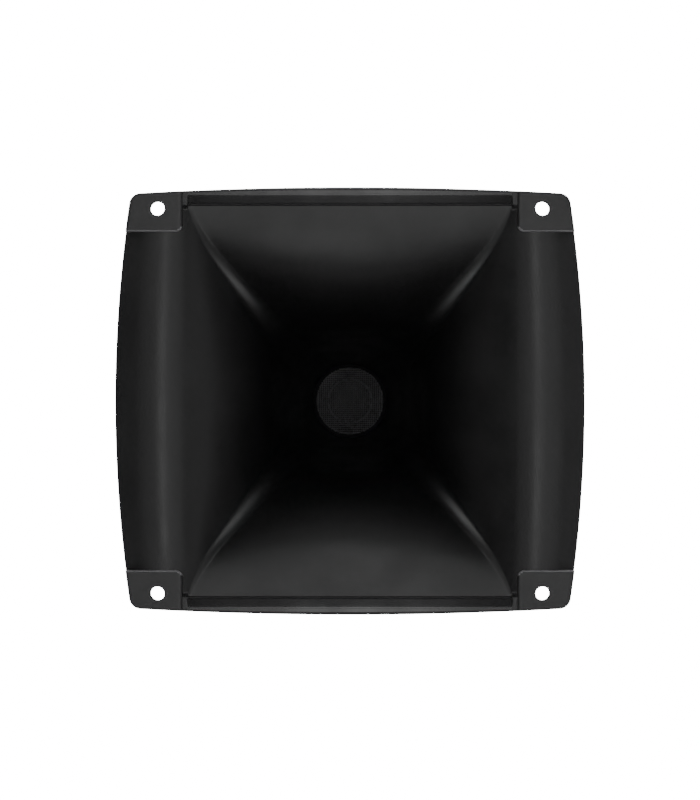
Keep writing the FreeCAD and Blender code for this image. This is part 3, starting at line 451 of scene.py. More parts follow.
def base_height(x, z):
    if x <= MOUTH_END_X:
        return bank(z)
    out = x - MOUTH_END_X
    if out < STRIP_WALL:
        share = out / STRIP_WALL * (1 - STRIP_ROUND / (FIELD - LIP))
    else:
        share = 1 - fall(STRIP_ROUND, out - STRIP_WALL) / (FIELD - LIP)
    strip = bank(z) + (FIELD - bank(z)) * share
    return cheek(x, z) + (strip - cheek(x, z)) * smooth(*STRIP_FADE, z)


def pad_height(inside, below):
    """Height at a distance inside the pad's inner edge, over the surface that it stands on."""
    if inside >= 0:
        return max(below, PAD - fall(PAD_ROUND, inside))
    share = min(1.0, -inside / PAD_DRAFT)
    top = max(below, PAD - PAD_ROUND)
    return top + (below - top) * share


class Outline:
    """The flange's outline in its first quarter, or that outline moved inwards."""

    def __init__(self, inset):
        self.inset = inset
        self.cx, self.cz, self.low, self.high = rounded_corner(
            OUTLINE_HALF_W, OUTLINE_HALF_H, 1 / OUTLINE_SIDE, 1 / OUTLINE_TOP, OUTLINE_CORNER
        )
        self.corner = OUTLINE_CORNER - inset
        self.middle = (self.low + self.high) / 2

    def right(self, z):
        """Point and outward direction on the right of the outline, at a height."""
        if z > self.cz + self.corner * sin(self.low):
            angle = asin(min(1.0, (z - self.cz) / self.corner))
            return self.at_corner(angle)
        centre = OUTLINE_HALF_W - OUTLINE_SIDE
        radius = OUTLINE_SIDE - self.inset
        x = centre + sqrt(radius * radius - z * z)
        return (x, z), ((x - centre) / radius, z / radius)

    def top(self, x):
        centre = OUTLINE_HALF_H - OUTLINE_TOP
        radius = OUTLINE_TOP - self.inset
        z = centre + sqrt(radius * radius - x * x)
        return (x, z), (x / radius, (z - centre) / radius)

    def at_corner(self, angle):
        direction = (cos(angle), sin(angle))
        place = (self.cx + self.corner * direction[0], self.cz + self.corner * direction[1])
        return place, direction


def spaced(low, high, count):
    """count values from low to high, without low itself."""
    return [low + (high - low) * number / count for number in range(1, count + 1)]


HOLE_PLACE, HOLE_RADIUS = 95.25, 3.5
HOLE_LOW, HOLE_HIGH = 90.5, 100.0
CORNER_CELLS = 14
SAME_PLACE = 1e-6
L_CELLS = CORNER_CELLS // 2
PAD_STEPS = (-PAD_DRAFT, 0.0, 0.05, 0.16, 0.36, 0.7, PAD_ROUND)

# grid lines, closer together where the surface bends
side_lines = [0.0] + spaced(0.0, 78.0, 26) + [79.6, 81.0, 82.2, 83.0]
side_lines += [PAD_Z + step for step in PAD_STEPS]
side_lines += [86.0, 87.3, 88.9, HOLE_LOW, 91.6, 92.7, 93.7, MOUTH_END_Z]
l_lines_z = spaced(MOUTH_END_Z, TOP_END_Z, L_CELLS)
high_lines = [TOP_END_Z + step for step in (0.3, 0.6, 0.9)]
high_lines += [GROOVE_END, 98.3, 99.1, HOLE_HIGH, 100.8, 101.4, 101.8, 102.1, 102.45, RIM_START]
RIM_CELLS = 5

top_lines = [0.0] + spaced(0.0, TOP_END_X, 28)
l_lines_x = spaced(TOP_END_X, MOUTH_END_X, L_CELLS)
NEAR_EDGE = (STRIP_WALL, 0.33, 0.5, 0.75)
near_cells = 3
far_lines = [PAD_X + step for step in PAD_STEPS]
far_lines += [85.2, 86.3, 87.6, 89.0, HOLE_LOW, 91.6, 92.7, 93.8, 94.9, 96.0, 97.0, 98.0, 99.0, HOLE_HIGH]
OUTER_CELLS = 10

inset_line = Outline(EDGE_BAND)
outer_line = Outline(0.0)


def side_columns(z):
    """The x of every line across the side, from the mouth's edge to the inset outline, at one height."""
    inner = mouth_side(z)
    foot = far_lines[0]
    lines = [inner] + [inner + step for step in NEAR_EDGE]
    lines += spaced(lines[-1], foot, near_cells)[:-1]
    lines += far_lines
    edge = inset_line.right(z)[0][0]
    return lines + spaced(HOLE_HIGH, edge, OUTER_CELLS)


def top_rows(x):
    """The z of every line above the mouth, from its top edge to the inset outline, at one place."""
    rim = inset_line.top(x)[0][1]
    if x <= PAD_X:
        return high_lines + spaced(RIM_START, rim, RIM_CELLS)
    start = high_lines.index(HOLE_HIGH)
    edge = inset_line.top(PAD_X)[0][1]
    whole = high_lines + spaced(RIM_START, edge, RIM_CELLS)
    share = (rim - HOLE_HIGH) / (edge - HOLE_HIGH)
    return whole[: start + 1] + [HOLE_HIGH + (z - HOLE_HIGH) * share for z in whole[start + 1:]]


def bent_for_pad_corner(x, z):
    """Moves the grid near the pad's inner corner so that its lines follow the rounded corner."""
    def shift(value, start, upright):
        """From a place on the straight edge to its place on the rounded corner's arc."""
        share = min(1.0, max(0.0, (value - start) / PAD_CORNER))
        angle = pi / 4 * (1 - share if upright else 1 + share)
        across, up = PAD_CORNER * (1 - cos(angle)), PAD_CORNER * (1 - sin(angle))
        along = share * PAD_CORNER
        return (across, up - along) if upright else (across - along, up)

    dx, dz = x - PAD_X, z - PAD_Z
    fade_x, fade_z = (
        1 - (smooth(0, PAD_CORNER, d) if d > 0 else smooth(0, PAD_BEND_REACH, -d)) for d in (dx, dz)
    )
    ux, uz = shift(z, PAD_Z, True)
    lx, lz = shift(x, PAD_X, False)
    kx, kz = shift(PAD_Z, PAD_Z, True)
    if dx > 0 and dz > 0:
        return (
            x + ux * fade_x + lx * fade_z - kx * fade_x * fade_z,
            z + uz * fade_x + lz * fade_z - kz * fade_x * fade_z,
        )
    if dx <= 0 and dz <= 0:
        return x + kx * fade_x * fade_z, z + kz * fade_x * fade_z
    if dx <= 0:
        return x + ux * fade_x, z + uz * fade_x
    return x + lx * fade_z, z + lz * fade_z


def surface(x, z, outside=None, line=None):
    """Point on the flange's front for a place on the flat grid.

    outside is the distance to the outline, and line the grid lines that the place belongs to.
    """
    line_x, line_z = line or (x, z)
    bent_x, bent_z = bent_for_pad_corner(x, z)
    height = pad_height(min(line_x - PAD_X, line_z - PAD_Z), base_height(bent_x, bent_z))
    if line_x <= PAD_X and line_z > MOUTH_END_Z:
        edge_z = outer_line.top(line_x)[0][1]
        height -= fall(edge_z - RIM_START, edge_z - z if outside is None else outside)
    elif outside is not None:
        on_pad = line_x > PAD_X and line_z > PAD_Z - PAD_DRAFT
        height -= fall(PAD_EDGE if on_pad else CHEEK_EDGE, outside)
    return bent_x, -height, bent_z


# --- Horn: the whole moulding as one closed mesh ---
BAND_STEPS = (0.9, 0.62, 0.4, 0.22, 0.1, 0.03, 0.0)
WALL_SHARES = (0.75, 0.5, 0.25)
REAR_CHAMFER = 0.4
RIM_WIDTH = 5.0
POCKET = 4.0
BOSS_RADIUS = 9.0
HOLE_RINGS = ((0.9, 0.0), (0.4, 0.0), (0.2, 0.05), (0.06, 0.18), (0.0, 0.4))
LIP_TURNS, BEND_TURNS, CONE_STEPS = 44, 34, 16
COLLAR_DEPTH = 4.5
THROAT_FLANGE, THROAT_FRONT, HORN_END = 66.0, 121.0, 131.0
THROAT_CHAMFER = 1.0
BOLT_CIRCLE_RADIUS, BOLT_HOLE_RADIUS = 50.8, 3.3
ROUND_CELLS, BOLT_HOLE_CELLS = 128, 32
# the outer skin has the inner one's rings, a little deeper, up to shortly before the throat flange
OUTER_SHIFT, OUTER_SKIP, OUTER_STOP = 4, 10, HORN_DEPTH - 10
POCKET_REACH, POCKET_CELLS, BOSS_TURN, BOSS_CELLS = 88, 30, 0.12, 16
QUARTERS = ((1, 1), (-1, 1), (-1, -1), (1, -1))


def wall_depths():
    """Depths at even turns of the top wall, then even steps down its straight cone."""
    depths = []
    for number in range(LIP_TURNS + 1):
        angle = TOP_WALL.lip + (TOP_WALL.bend - TOP_WALL.lip) * number / LIP_TURNS
        depths.append(TOP_WALL.arc * (sin(TOP_WALL.lip) - sin(angle)))
    for number in range(1, BEND_TURNS + 1):
        angle = TOP_WALL.bend + (TOP_WALL.cone - TOP_WALL.bend) * number / BEND_TURNS
        depths.append(TOP_WALL.depth_1 + TOP_WALL.bend_arc * (sin(TOP_WALL.bend) - sin(angle)))
    return depths + spaced(depths[-1], HORN_DEPTH, CONE_STEPS)


def ring(section):
    """A quarter of a section, from the middle of its side over the corner to the middle of its top."""
    side_end = asin(MOUTH_END_Z * mouth.side_curve)
    shares = [asin(z * mouth.side_curve) / side_end for z in side_lines]
    places = [section.on_side(share) for share in shares]
    places += [section.on_corner(number / CORNER_CELLS) for number in range(1, CORNER_CELLS)]
    places += [section.on_top(x / TOP_END_X) for x in reversed(top_lines)]
    return [(x, -section.height, z) for x, z in places]


def quarter_front():
    """Grids of the flange's front in the first quarter, and the columns of its outer edge."""
    lower = []
    rim = []
    for z in side_lines + l_lines_z + [z for z in high_lines if z <= HOLE_HIGH]:
        columns = side_columns(z)
        lower.append([surface(x, z) for x in columns])
        place, direction = inset_line.right(z)
        rim.append((place, direction, (place[0], z)))
    upper_x = [x for x in side_columns(HOLE_HIGH) if x <= HOLE_HIGH]
    first = high_lines.index(HOLE_HIGH)
    upper = [[surface(x, top_rows(x)[first + row]) for x in upper_x]
             for row in range(len(top_rows(0)) - first)]

    # the outer corner is a patch between its four sides
    bottom = [(x, HOLE_HIGH) for x in side_columns(HOLE_HIGH) if x >= HOLE_HIGH]
    left = [(HOLE_HIGH, z) for z in top_rows(HOLE_HIGH)[first:]]
    start_angle = asin((HOLE_HIGH - inset_line.cz) / inset_line.corner)
    across, along = len(bottom) - 1, len(left) - 1
    right_angles = [start_angle + (inset_line.middle - start_angle) * v / along for v in range(along + 1)]
    right = [inset_line.at_corner(angle) for angle in right_angles]
    end_z = left[-1][1]
    centre = inset_line.at_corner(inset_line.middle)[0]
    top = []
    for u in range(across + 1):
        share = u / across
        x = HOLE_HIGH + (centre[0] - HOLE_HIGH) * share
        if x < inset_line.cx:
            top.append(inset_line.top(x))
        else:
            angle = acos(min(1.0, (x - inset_line.cx) / inset_line.corner))
            top.append(inset_line.at_corner(angle))
    corner_rows = []
    for v in range(along + 1):
        row = []
        for u in range(across + 1):
            s, t = u / across, v / along
            place = []
            for axis in (0, 1):
                ruled = (1 - t) * bottom[u][axis] + t * top[u][0][axis]
                ruled += (1 - s) * left[v][axis] + s * right[v][0][axis]
                ruled -= (1 - s) * (1 - t) * bottom[0][axis] + s * (1 - t) * bottom[-1][axis]
                ruled -= (1 - s) * t * (HOLE_HIGH, end_z)[axis] + s * t * centre[axis]
                place.append(ruled)
            row.append(surface(*place))
        corner_rows.append(row)
    rim += [(place, direction, place) for place, direction in right[1:]]
    rim += [(place, direction, place) for place, direction in reversed(top[:-1])]

    all_x = top_lines + l_lines_x
    crown = [[surface(x, mouth.on_top(x / TOP_END_X)[1] if x <= TOP_END_X else TOP_END_Z) for x in all_x]]
    for row in range(len(top_rows(0))):
        crown.append([surface(x, top_rows(x)[row]) for x in all_x])
    for x in reversed(all_x[:-1] + upper_x[:-1]):
        place, direction = inset_line.top(x)
        rim.append((place, direction, (x, place[1])))
    return lower, upper, corner_rows, crown, rim


def mirrored(rows, sx, sz):
    return [[(x * sx, y, z * sz) for x, y, z in row] for row in rows]


def loop_round(quarter):
    """A whole loop from one quarter's places, which run from the right's middle to the top's middle."""
    whole = list(quarter)
    whole += [(-x, y, z) for x, y, z in reversed(quarter[:-1])]
    whole += [(-x, y, -z) for x, y, z in quarter[1:]]
    whole += [(x, y, -z) for x, y, z in reversed(quarter[1:-1])]
    return whole


def circle(radius, y, x=0.0, z=0.0, cells=ROUND_CELLS):
    flat = [round_about(x, z, radius, 2 * pi * number / cells) for number in range(cells)]
    return [(x, y, z) for x, z in flat]


def fill_flat(shell, loops):
    """Fills the flat area inside the first loop and outside the others with triangles."""
    flat = [[Vector((x, z, 0)) for x, y, z in loop] for loop in loops]
    places = [place for loop in loops for place in loop]
    for triangle in geometry.tessellate_polygon(flat):
        shell.face([places[number] for number in triangle])


def pocket_quarter(y):
    """A quarter of the rear pocket's outline: the inset outline, stepped round the bolt boss."""
    line = Outline(RIM_WIDTH)
    values = spaced(0, POCKET_REACH, POCKET_CELLS)
    side = [line.right(z)[0] for z in values]
    top = [line.top(x)[0] for x in values[:-1]]
    side, top = (
        [(x, z) for x, z in places if hypot(x - HOLE_PLACE, z - HOLE_PLACE) > BOSS_RADIUS]
        for places in (side, top)
    )
    start, end = (atan2(places[-1][1] - HOLE_PLACE, places[-1][0] - HOLE_PLACE) for places in (side, top))
    start, end = start + BOSS_TURN, end - BOSS_TURN
    end_turn = end - 2 * pi if end > 0 else end
    arc = []
    for number in range(BOSS_CELLS + 1):
        angle = start + (end_turn - start) * number / BOSS_CELLS
        arc.append(round_about(HOLE_PLACE, HOLE_PLACE, BOSS_RADIUS, angle))
    quarter = [line.right(0)[0]] + side + arc + top[::-1] + [line.top(0)[0]]
    return [(x, y, z) for x, z in quarter]


def moved(place, direction, distance):
    return place[0] + direction[0] * distance, place[1] + direction[1] * distance


def square_loop(rows):
    """The outer points of a block of grid points, anticlockwise from its lower right corner."""
    right = [row[-1] for row in rows]
    top = list(reversed(rows[-1]))
    left = [row[0] for row in reversed(rows)]
    return right[:-1] + top[:-1] + left[:-1] + rows[0][:-1]


def build_horn():
    shell = Shell()
    lower, upper, corner_rows, crown, rim = quarter_front()
    columns = side_columns(HOLE_PLACE)
    low_x, high_x = columns.index(HOLE_LOW), columns.index(HOLE_HIGH)
    low_z = next(i for i, row in enumerate(lower) if abs(row[0][2] - HOLE_LOW) < SAME_PLACE)
    hole_block = [row[low_x:high_x + 1] for row in lower[low_z:]]
    outer_l = [surface(MOUTH_END_X, z) for z in [MOUTH_END_Z] + l_lines_z]
    outer_l += [surface(x, TOP_END_Z) for x in reversed([TOP_END_X] + l_lines_x[:-1])]
    inner_l = [(x, Y_LIP, z) for x, z in
               (mouth.on_corner(number / CORNER_CELLS) for number in range(CORNER_CELLS + 1))]

    around = [
        [surface(*moved(place, direction, EDGE_BAND - step), step, line) for place, direction, line in rim]
        for step in BAND_STEPS
    ]
    edge = around[-1]
    around += [[(x, y * share, z) for x, y, z in edge] for share in WALL_SHARES]
    around.append([(x, -REAR_CHAMFER, z) for x, y, z in edge])
    rear_edge = []
    for place, direction, line in rim:
        x, z = moved(place, direction, EDGE_BAND - REAR_CHAMFER)
        rear_edge.append((x, 0.0, z))
    around.append(rear_edge)

    inner = [ring(Section(depth)) for depth in wall_depths()]
    outer_depths = [COLLAR_DEPTH + SAME_PLACE]
    outer_depths += [depth + OUTER_SHIFT for depth in wall_depths()[OUTER_SKIP:]
                     if depth + OUTER_SHIFT < OUTER_STOP]
    outer = [ring(Section(depth, WALL_THICK)) for depth in outer_depths]
    outer.append(ring(Section(THROAT_FRONT - Y_LIP, WALL_THICK)))
    collar = [(x, -POCKET, z) for x, y, z in outer[0]]
    square = square_loop(hole_block)
    angles = [atan2(z - HOLE_PLACE, x - HOLE_PLACE) for x, y, z in square]
    hole_rows = [square]
    for out, down in HOLE_RINGS:
        around_hole = [round_about(HOLE_PLACE, HOLE_PLACE, HOLE_RADIUS + out, angle) for angle in angles]
        hole_rows.append([(x, down - PAD, z) for x, z in around_hole])
    hole_rows.append([(x, 0.0, z) for x, y, z in hole_rows[-1]])
    hole_rows = [row + row[:1] for row in hole_rows]

    for sx, sz in QUARTERS:
        flip = sx * sz < 0
        for number, (low, high) in enumerate(zip(lower, lower[1:])):
            if number < low_z:
                shell.grid(mirrored([low, high], sx, sz), flip)
            else:
                shell.grid(mirrored([low[:low_x + 1], high[:low_x + 1]], sx, sz), flip)
                shell.grid(mirrored([low[high_x:], high[high_x:]], sx, sz), flip)
        for rows in (upper, corner_rows, crown, [outer_l, inner_l], inner):
            shell.grid(mirrored(rows, sx, sz), flip)
        shell.grid(mirrored(around, sx, sz), not flip)
        shell.grid(mirrored(hole_rows, sx, sz), flip)
        shell.grid(mirrored([collar] + outer, sx, sz), not flip)

    holes = [[(x * sx, 0.0, z * sz) for x, y, z in hole_rows[-1][:-1]] for sx, sz in QUARTERS]
    pocket_floor = loop_round(pocket_quarter(-POCKET))
    pocket_edge = loop_round(pocket_quarter(0.0))
    fill_flat(shell, [loop_round(rear_edge), pocket_edge] + holes)
    shell.tube([pocket_edge, pocket_floor])
    fill_flat(shell, [pocket_floor, loop_round(collar)])

    bolts = [(sx * BOLT_CIRCLE_RADIUS * sqrt(0.5), sz * BOLT_CIRCLE_RADIUS * sqrt(0.5))
             for sx, sz in QUARTERS]
    front_holes, rear_holes = (
        [circle(BOLT_HOLE_RADIUS, y, x, z, BOLT_HOLE_CELLS) for x, z in bolts]
        for y in (THROAT_FRONT, HORN_END)
    )
    disc = [
        circle(THROAT_FLANGE - THROAT_CHAMFER, THROAT_FRONT),
        circle(THROAT_FLANGE, THROAT_FRONT + THROAT_CHAMFER),
        circle(THROAT_FLANGE, HORN_END - THROAT_CHAMFER),
        circle(THROAT_FLANGE - THROAT_CHAMFER, HORN_END),
    ]
    fill_flat(shell, [disc[0], loop_round(outer[-1])] + front_holes)
    shell.tube(disc)
    fill_flat(shell, [disc[-1], loop_round(inner[-1])] + rear_holes)
    for front, rear in zip(front_holes, rear_holes):
        shell.tube([front, rear])
    return shell


def close_and_orient(shell, name):
    """Makes the mesh, welds what lies on the same place and turns every face outwards."""
    mesh = bpy.data.meshes.new(name)
    mesh.from_pydata([[value * MM for value in place] for place in shell.points], [], shell.faces)
    work = bmesh.new()
    work.from_mesh(mesh)
    bmesh.ops.remove_doubles(work, verts=work.verts, dist=WELD)
    bmesh.ops.recalc_face_normals(work, faces=work.faces)
    work.to_mesh(mesh)
    work.free()
    return finish_mesh(name, mesh)


MATERIALS = {}


def set_inputs(tree, node, inputs):
    """Links or sets a node's inputs by name; an underscore stands for a space."""
    for name, value in inputs.items():
        socket = node.inputs[name.replace("_", " ")]
        if isinstance(value, bpy.types.NodeSocket):
            tree.links.new(value, socket)
        else:
            socket.default_value = value


def add_node(tree, kind, settings=None, **inputs):
    node = tree.nodes.new("ShaderNode" + kind)
    for name, value in (settings or {}).items():
        setattr(node, name, value)
    set_inputs(tree, node, inputs)
    return node


def look(name, colour, roughness, metallic=0.0, grain=(900, 0.04), lines=None, mottle=0.12,
         specular=0.5, sheen=0.0, coat=0.0):
    """Procedural material: grain or turned lines in the bump, mottled shade and gloss.

    grain is the noise's scale and the bump's height. lines is the same for fine rings round the driver's
    axis, as a lathe or a grinding wheel leaves.
    """
    material = bpy.data.materials.new(name)
    material.use_nodes = True
    tree = material.node_tree
    place = add_node(tree, "TexCoord").outputs["Object"]
    fine = add_node(tree, "TexNoise", Scale=grain[0], Detail=3.0, Vector=place)
    bump = add_node(tree, "Bump", Strength=0.6, Distance=grain[1] * MM, Height=fine.outputs["Fac"])
    if lines:
        rings = add_node(tree, "TexWave", {"wave_type": "RINGS", "rings_direction": "Y"},
                         Scale=lines[0], Distortion=1.5, Detail=2.0, Vector=place)
        bump = add_node(tree, "Bump", Strength=0.5, Distance=lines[1] * MM, Height=rings.outputs["Fac"],
                        Normal=bump.outputs["Normal"])
    slow = add_node(tree, "TexNoise", Scale=34.0, Detail=5.0, Roughness=0.6, Vector=place).outputs["Fac"]
    gloss = add_node(tree, "MapRange", From_Min=0.3, From_Max=0.7, To_Min=max(0.03, roughness - 0.06),
                     To_Max=roughness + 0.06, Value=slow)
    darker = [value * (1 - mottle) for value in colour]
    lighter = [min(1.0, value * (1 + mottle)) for value in colour]
    shade = add_node(tree, "Mix", {"data_type": "RGBA"}, A=(*darker, 1), B=(*lighter, 1), Factor=slow)
    set_inputs(tree, tree.nodes["Principled BSDF"], {
        "Metallic": metallic, "Specular IOR Level": specular, "Sheen Weight": sheen, "Coat Weight": coat,
        "Normal": bump.outputs["Normal"], "Roughness": gloss.outputs["Result"],
        "Base Color": shade.outputs["Result"],
    })
    MATERIALS[name] = material


look("horn_plastic", (0.007, 0.007, 0.0075), 0.37, grain=(1300, 0.03))
look("horn_edge", (0.007, 0.007, 0.0075), 0.2, grain=(1300, 0.008))
# painted highlight: a lighter grey for the pads' rounded inner edges, standing in for the light they catch
look("horn_painted_highlight", (0.13, 0.13, 0.134), 0.4, grain=(1200, 0.02), mottle=0.3)
look("gasket_paper", (0.05, 0.048, 0.045), 0.75, grain=(1600, 0.06), mottle=0.3)
look("screen_wire", (0.12, 0.12, 0.124), 0.4, 0.6, (2500, 0.01))
look("steel_black", (0.035, 0.036, 0.04), 0.34, 0.75, (1100, 0.01), (420, 0.012), 0.2)
look("steel_zinc", (0.56, 0.56, 0.58), 0.26, 1.0, (1800, 0.006), mottle=0.1)
look("steel_screw", (0.05, 0.05, 0.055), 0.36, 0.8, (1800, 0.008), mottle=0.15)
# painted shade: near black with weak specular, for the screen ring at the dark far end of the throat
look("ring_painted_shade", (0.004, 0.004, 0.0043), 0.7, grain=(1500, 0.01), specular=0.12)
look("ferrite", (0.05, 0.051, 0.055), 0.48, 0.25, (700, 0.05), mottle=0.28)
# painted shade: the phase plug is near black with almost no specular, standing in for the shadow deep behind
# the screen
look("plug_plastic", (0.003, 0.003, 0.0033), 0.8, grain=(1200, 0.02), specular=0.03)
# painted shade: the dome's metal is made very dark so it does not show through the plug's slots, for the
# shade deep in the driver
look("dome_metal", (0.08, 0.08, 0.083), 0.55, 1.0, (300, 0.02), mottle=0.08)
look("surround_film", (0.45, 0.3, 0.1), 0.28, grain=(500, 0.01), coat=0.3)
look("former_film", (0.5, 0.3, 0.08), 0.3, grain=(500, 0.01), coat=0.3)
look("copper", (0.75, 0.36, 0.16), 0.3, 1.0, (900, 0.01), (2600, 0.04))
look("ring_aluminium", (0.68, 0.68, 0.7), 0.32, 1.0, (1500, 0.006), (700, 0.01))
look("brass", (0.74, 0.56, 0.25), 0.3, 1.0, (1500, 0.008))
look("wire_red", (0.42, 0.02, 0.02), 0.45, grain=(1500, 0.02))
look("wire_black", (0.015, 0.015, 0.015), 0.45, grain=(1500, 0.02))
look("cap_plastic", (0.016, 0.016, 0.017), 0.46, grain=(520, 0.1), mottle=0.2)
look("gasket_foam", (0.028, 0.028, 0.03), 0.9, grain=(2200, 0.4), sheen=0.2, mottle=0.35)
look("block_plastic", (0.014, 0.014, 0.0145), 0.34, grain=(1000, 0.02))
look("button_red", (0.5, 0.015, 0.012), 0.26, grain=(900, 0.01), coat=0.25)
look("button_black", (0.012, 0.012, 0.012), 0.26, grain=(900, 0.01), coat=0.25)
look("spring_steel", (0.5, 0.5, 0.52), 0.24, 1.0, (2400, 0.004))


def settle(piece, nodes, finish, body="housing"):
    """Gives a piece its material if it has none and its body, and hides the CAD nodes that it stands for."""
    if not piece.data.materials:
        piece.data.materials.append(MATERIALS[finish])
    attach(piece, body)
    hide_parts(*nodes)


def cut_away(piece, tool):
    """Takes the tool's shape out of a piece, and leaves no tool behind."""
    change = piece.modifiers.new("change", "BOOLEAN")
    change.operation = "DIFFERENCE"
    change.solver = "EXACT"
    change.object = tool
    graph = bpy.context.evaluated_depsgraph_get()
    piece_mesh = bpy.data.meshes.new_from_object(piece.evaluated_get(graph))
    piece.modifiers.clear()
    piece.data = piece_mesh
    bpy.data.objects.remove(tool)
    shade_smooth(piece_mesh, SHARP_DEGREES)


# --- Horn ---
RIB_THICK, RIB_ROOT, RIB_FOOT, RIB_TIP = 4.0, -5.0, 3.0, 58.0
RIB_REACH_X, RIB_REACH_Z = 104.0, 96.0
RIB_STATIONS, RIB_END = 24, THROAT_FRONT + 2


def add_rib(shell, wall, reach, side, upright):
    """A flat gusset behind one wall, rooted inside that wall, the flange and the throat flange."""
    outline = [(RIB_ROOT, reach), (RIB_FOOT, reach), (RIB_END, RIB_TIP)]
    for y in reversed([RIB_ROOT] + spaced(RIB_ROOT, RIB_END, RIB_STATIONS)):
        outline.append((y, wall.outside(y - Y_LIP, WALL_THICK / 2)))
    faces = []
    for half in (-RIB_THICK / 2, RIB_THICK / 2):
        faces.append([(half, y, side * out) if upright else (side * out, y, half) for y, out in outline])
    shell.capped(faces)


ribs = Shell()
for wall, reach, upright in ((TOP_WALL, RIB_REACH_Z, True), (SIDE_WALL, RIB_REACH_X, False)):
    for side in (1, -1):
        add_rib(ribs, wall, reach, side, upright)
settle(close_and_orient(ribs, "horn_ribs"), ["horn_flare"], "horn_plastic")
horn = close_and_orient(build_horn(), "horn_flare_moulding")
for finish in ("horn_plastic", "horn_edge", "horn_painted_highlight"):
    horn.data.materials.append(MATERIALS[finish])


def inside_pad(x, z):
    """How far a place is inside a corner pad's inner edge, with the edge's round corner."""
    dx, dz = x - PAD_X, z - PAD_Z
    if dx < PAD_CORNER and dz < PAD_CORNER:
        return PAD_CORNER - hypot(PAD_CORNER - dx, PAD_CORNER - dz)
    return min(dx, dz)


EDGE_SLOT, HIGHLIGHT_SLOT = 1, 2
HIGHLIGHT_LOW, HIGHLIGHT_HIGH, HIGHLIGHT_TOP = -0.15, 0.9, PAD_Z + PAD_CORNER * 0.7
FRONT_Y = -0.2
for polygon in horn.data.polygons:
    x, y, z = (abs(value) / MM for value in polygon.center)
    if polygon.center.y >= FRONT_Y * MM:
        continue
    if x < MOUTH_END_X and z > GROOVE_END and y > LIP - GROOVE_DEPTH:
        polygon.material_index = EDGE_SLOT
    # painted highlight: the pads' inner edges near their corners get the lighter grey
    if HIGHLIGHT_LOW < inside_pad(x, z) < HIGHLIGHT_HIGH and z < HIGHLIGHT_TOP:
        polygon.material_index = HIGHLIGHT_SLOT
settle(horn, ["horn_flare"], "horn_plastic")


# --- Turned pieces, with their holes ---
TURNED_CELLS = 192


def turned(name, profile, cells=TURNED_CELLS):
    """A closed ring or disc from its section: radius and y, in millimetres."""
    shell = Shell()
    loops = []
    for number in range(cells + 1):
        angle = 2 * pi * number / cells
        loops.append([(r * cos(angle), y, r * sin(angle)) for r, y in profile])
    shell.tube(loops)
    return close_and_orient(shell, name)


def drill(piece, places, radius, y_start, y_end, cells=48):
    """Cuts round holes along the driver's axis."""
    shell = Shell()
    for x, z in places:
        shell.capped([circle(radius, y, x, z, cells) for y in (y_start, y_end)])
    cut_away(piece, close_and_orient(shell, piece.name + "_drill"))


def on_circle(diameter, count, first):
    angles = [radians(first + 360 * number / count) for number in range(count)]
    return [round_about(0, 0, diameter / 2, angle) for angle in angles]


CAP_CIRCLE, RING_CIRCLE = 134.0, 98.0
BOLT_PASS, BOLT_THREAD, CAP_PASS, CAP_THREAD, RING_THREAD, LEAD_PASS = 3.3, 3.0, 2.8, 2.5, 1.5, 2.6
# a cutting tool starts and ends this far outside the piece that it goes through
CLEAR = 1
PLATE_RADIUS, EDGE = 75.0, 0.8
Y_DRIVER, Y_MAGNET, Y_TOP_PLATE, Y_CARRIER = 132.0, 144.0, 164.0, 174.0
Y_CAP, Y_CAP_END = 175.0, 206.0
bolt_places = on_circle(2 * BOLT_CIRCLE_RADIUS, 4, 45)
cap_places = on_circle(CAP_CIRCLE, 4, 45)

SHEET_BORE, SHEET_RADIUS = 19.55, 62
gasket = turned("throat_gasket_sheet", [
    (SHEET_BORE, HORN_END), (SHEET_RADIUS, HORN_END),
    (SHEET_RADIUS, Y_DRIVER), (SHEET_BORE, Y_DRIVER),
])
drill(gasket, bolt_places, BOLT_PASS, HORN_END - CLEAR, Y_DRIVER + CLEAR)
settle(gasket, ["throat_gasket"], "gasket_paper")
POLE_RADIUS, POLE_EDGE, POLE_BORE, POLE_RECESS, RECESS_FLOOR = 35.7, 0.4, 22, 30, 160
RING_SEAT, BOLT_HOLE_END = 134.2, 143.0
plate = turned("pole_plate_turned", [
    (POLE_BORE, Y_DRIVER), (PLATE_RADIUS - EDGE, Y_DRIVER), (PLATE_RADIUS, Y_DRIVER + EDGE),
    (PLATE_RADIUS, Y_MAGNET - EDGE), (PLATE_RADIUS - EDGE, Y_MAGNET), (POLE_RADIUS, Y_MAGNET),
    (POLE_RADIUS, Y_CARRIER - POLE_EDGE), (35.3, Y_CARRIER), (POLE_RECESS, Y_CARRIER),
    (POLE_RECESS, RECESS_FLOOR), (POLE_BORE, RECESS_FLOOR), (THROAT_RADIUS, RING_SEAT),
    (POLE_BORE, RING_SEAT),
])
drill(plate, bolt_places, BOLT_THREAD, Y_DRIVER - CLEAR, BOLT_HOLE_END)
settle(plate, ["pole_plate"], "steel_black")
MAGNET_BORE, MAGNET_RADIUS, MAGNET_EDGE = 46, 73, 1.2
magnet = turned("magnet_ring_ground", [
    (MAGNET_BORE, Y_MAGNET), (MAGNET_RADIUS - MAGNET_EDGE, Y_MAGNET),
    (MAGNET_RADIUS, Y_MAGNET + MAGNET_EDGE), (MAGNET_RADIUS, Y_TOP_PLATE - MAGNET_EDGE),
    (MAGNET_RADIUS - MAGNET_EDGE, Y_TOP_PLATE),
    (MAGNET_BORE, Y_TOP_PLATE),
])
settle(magnet, ["magnet_ring"], "ferrite")
TOP_PLATE_BORE, CAP_THREAD_END, RING_THREAD_END, PIN_HOLE_END, SMALL_CELLS = 38, 167.0, 169.0, 171.0, 20
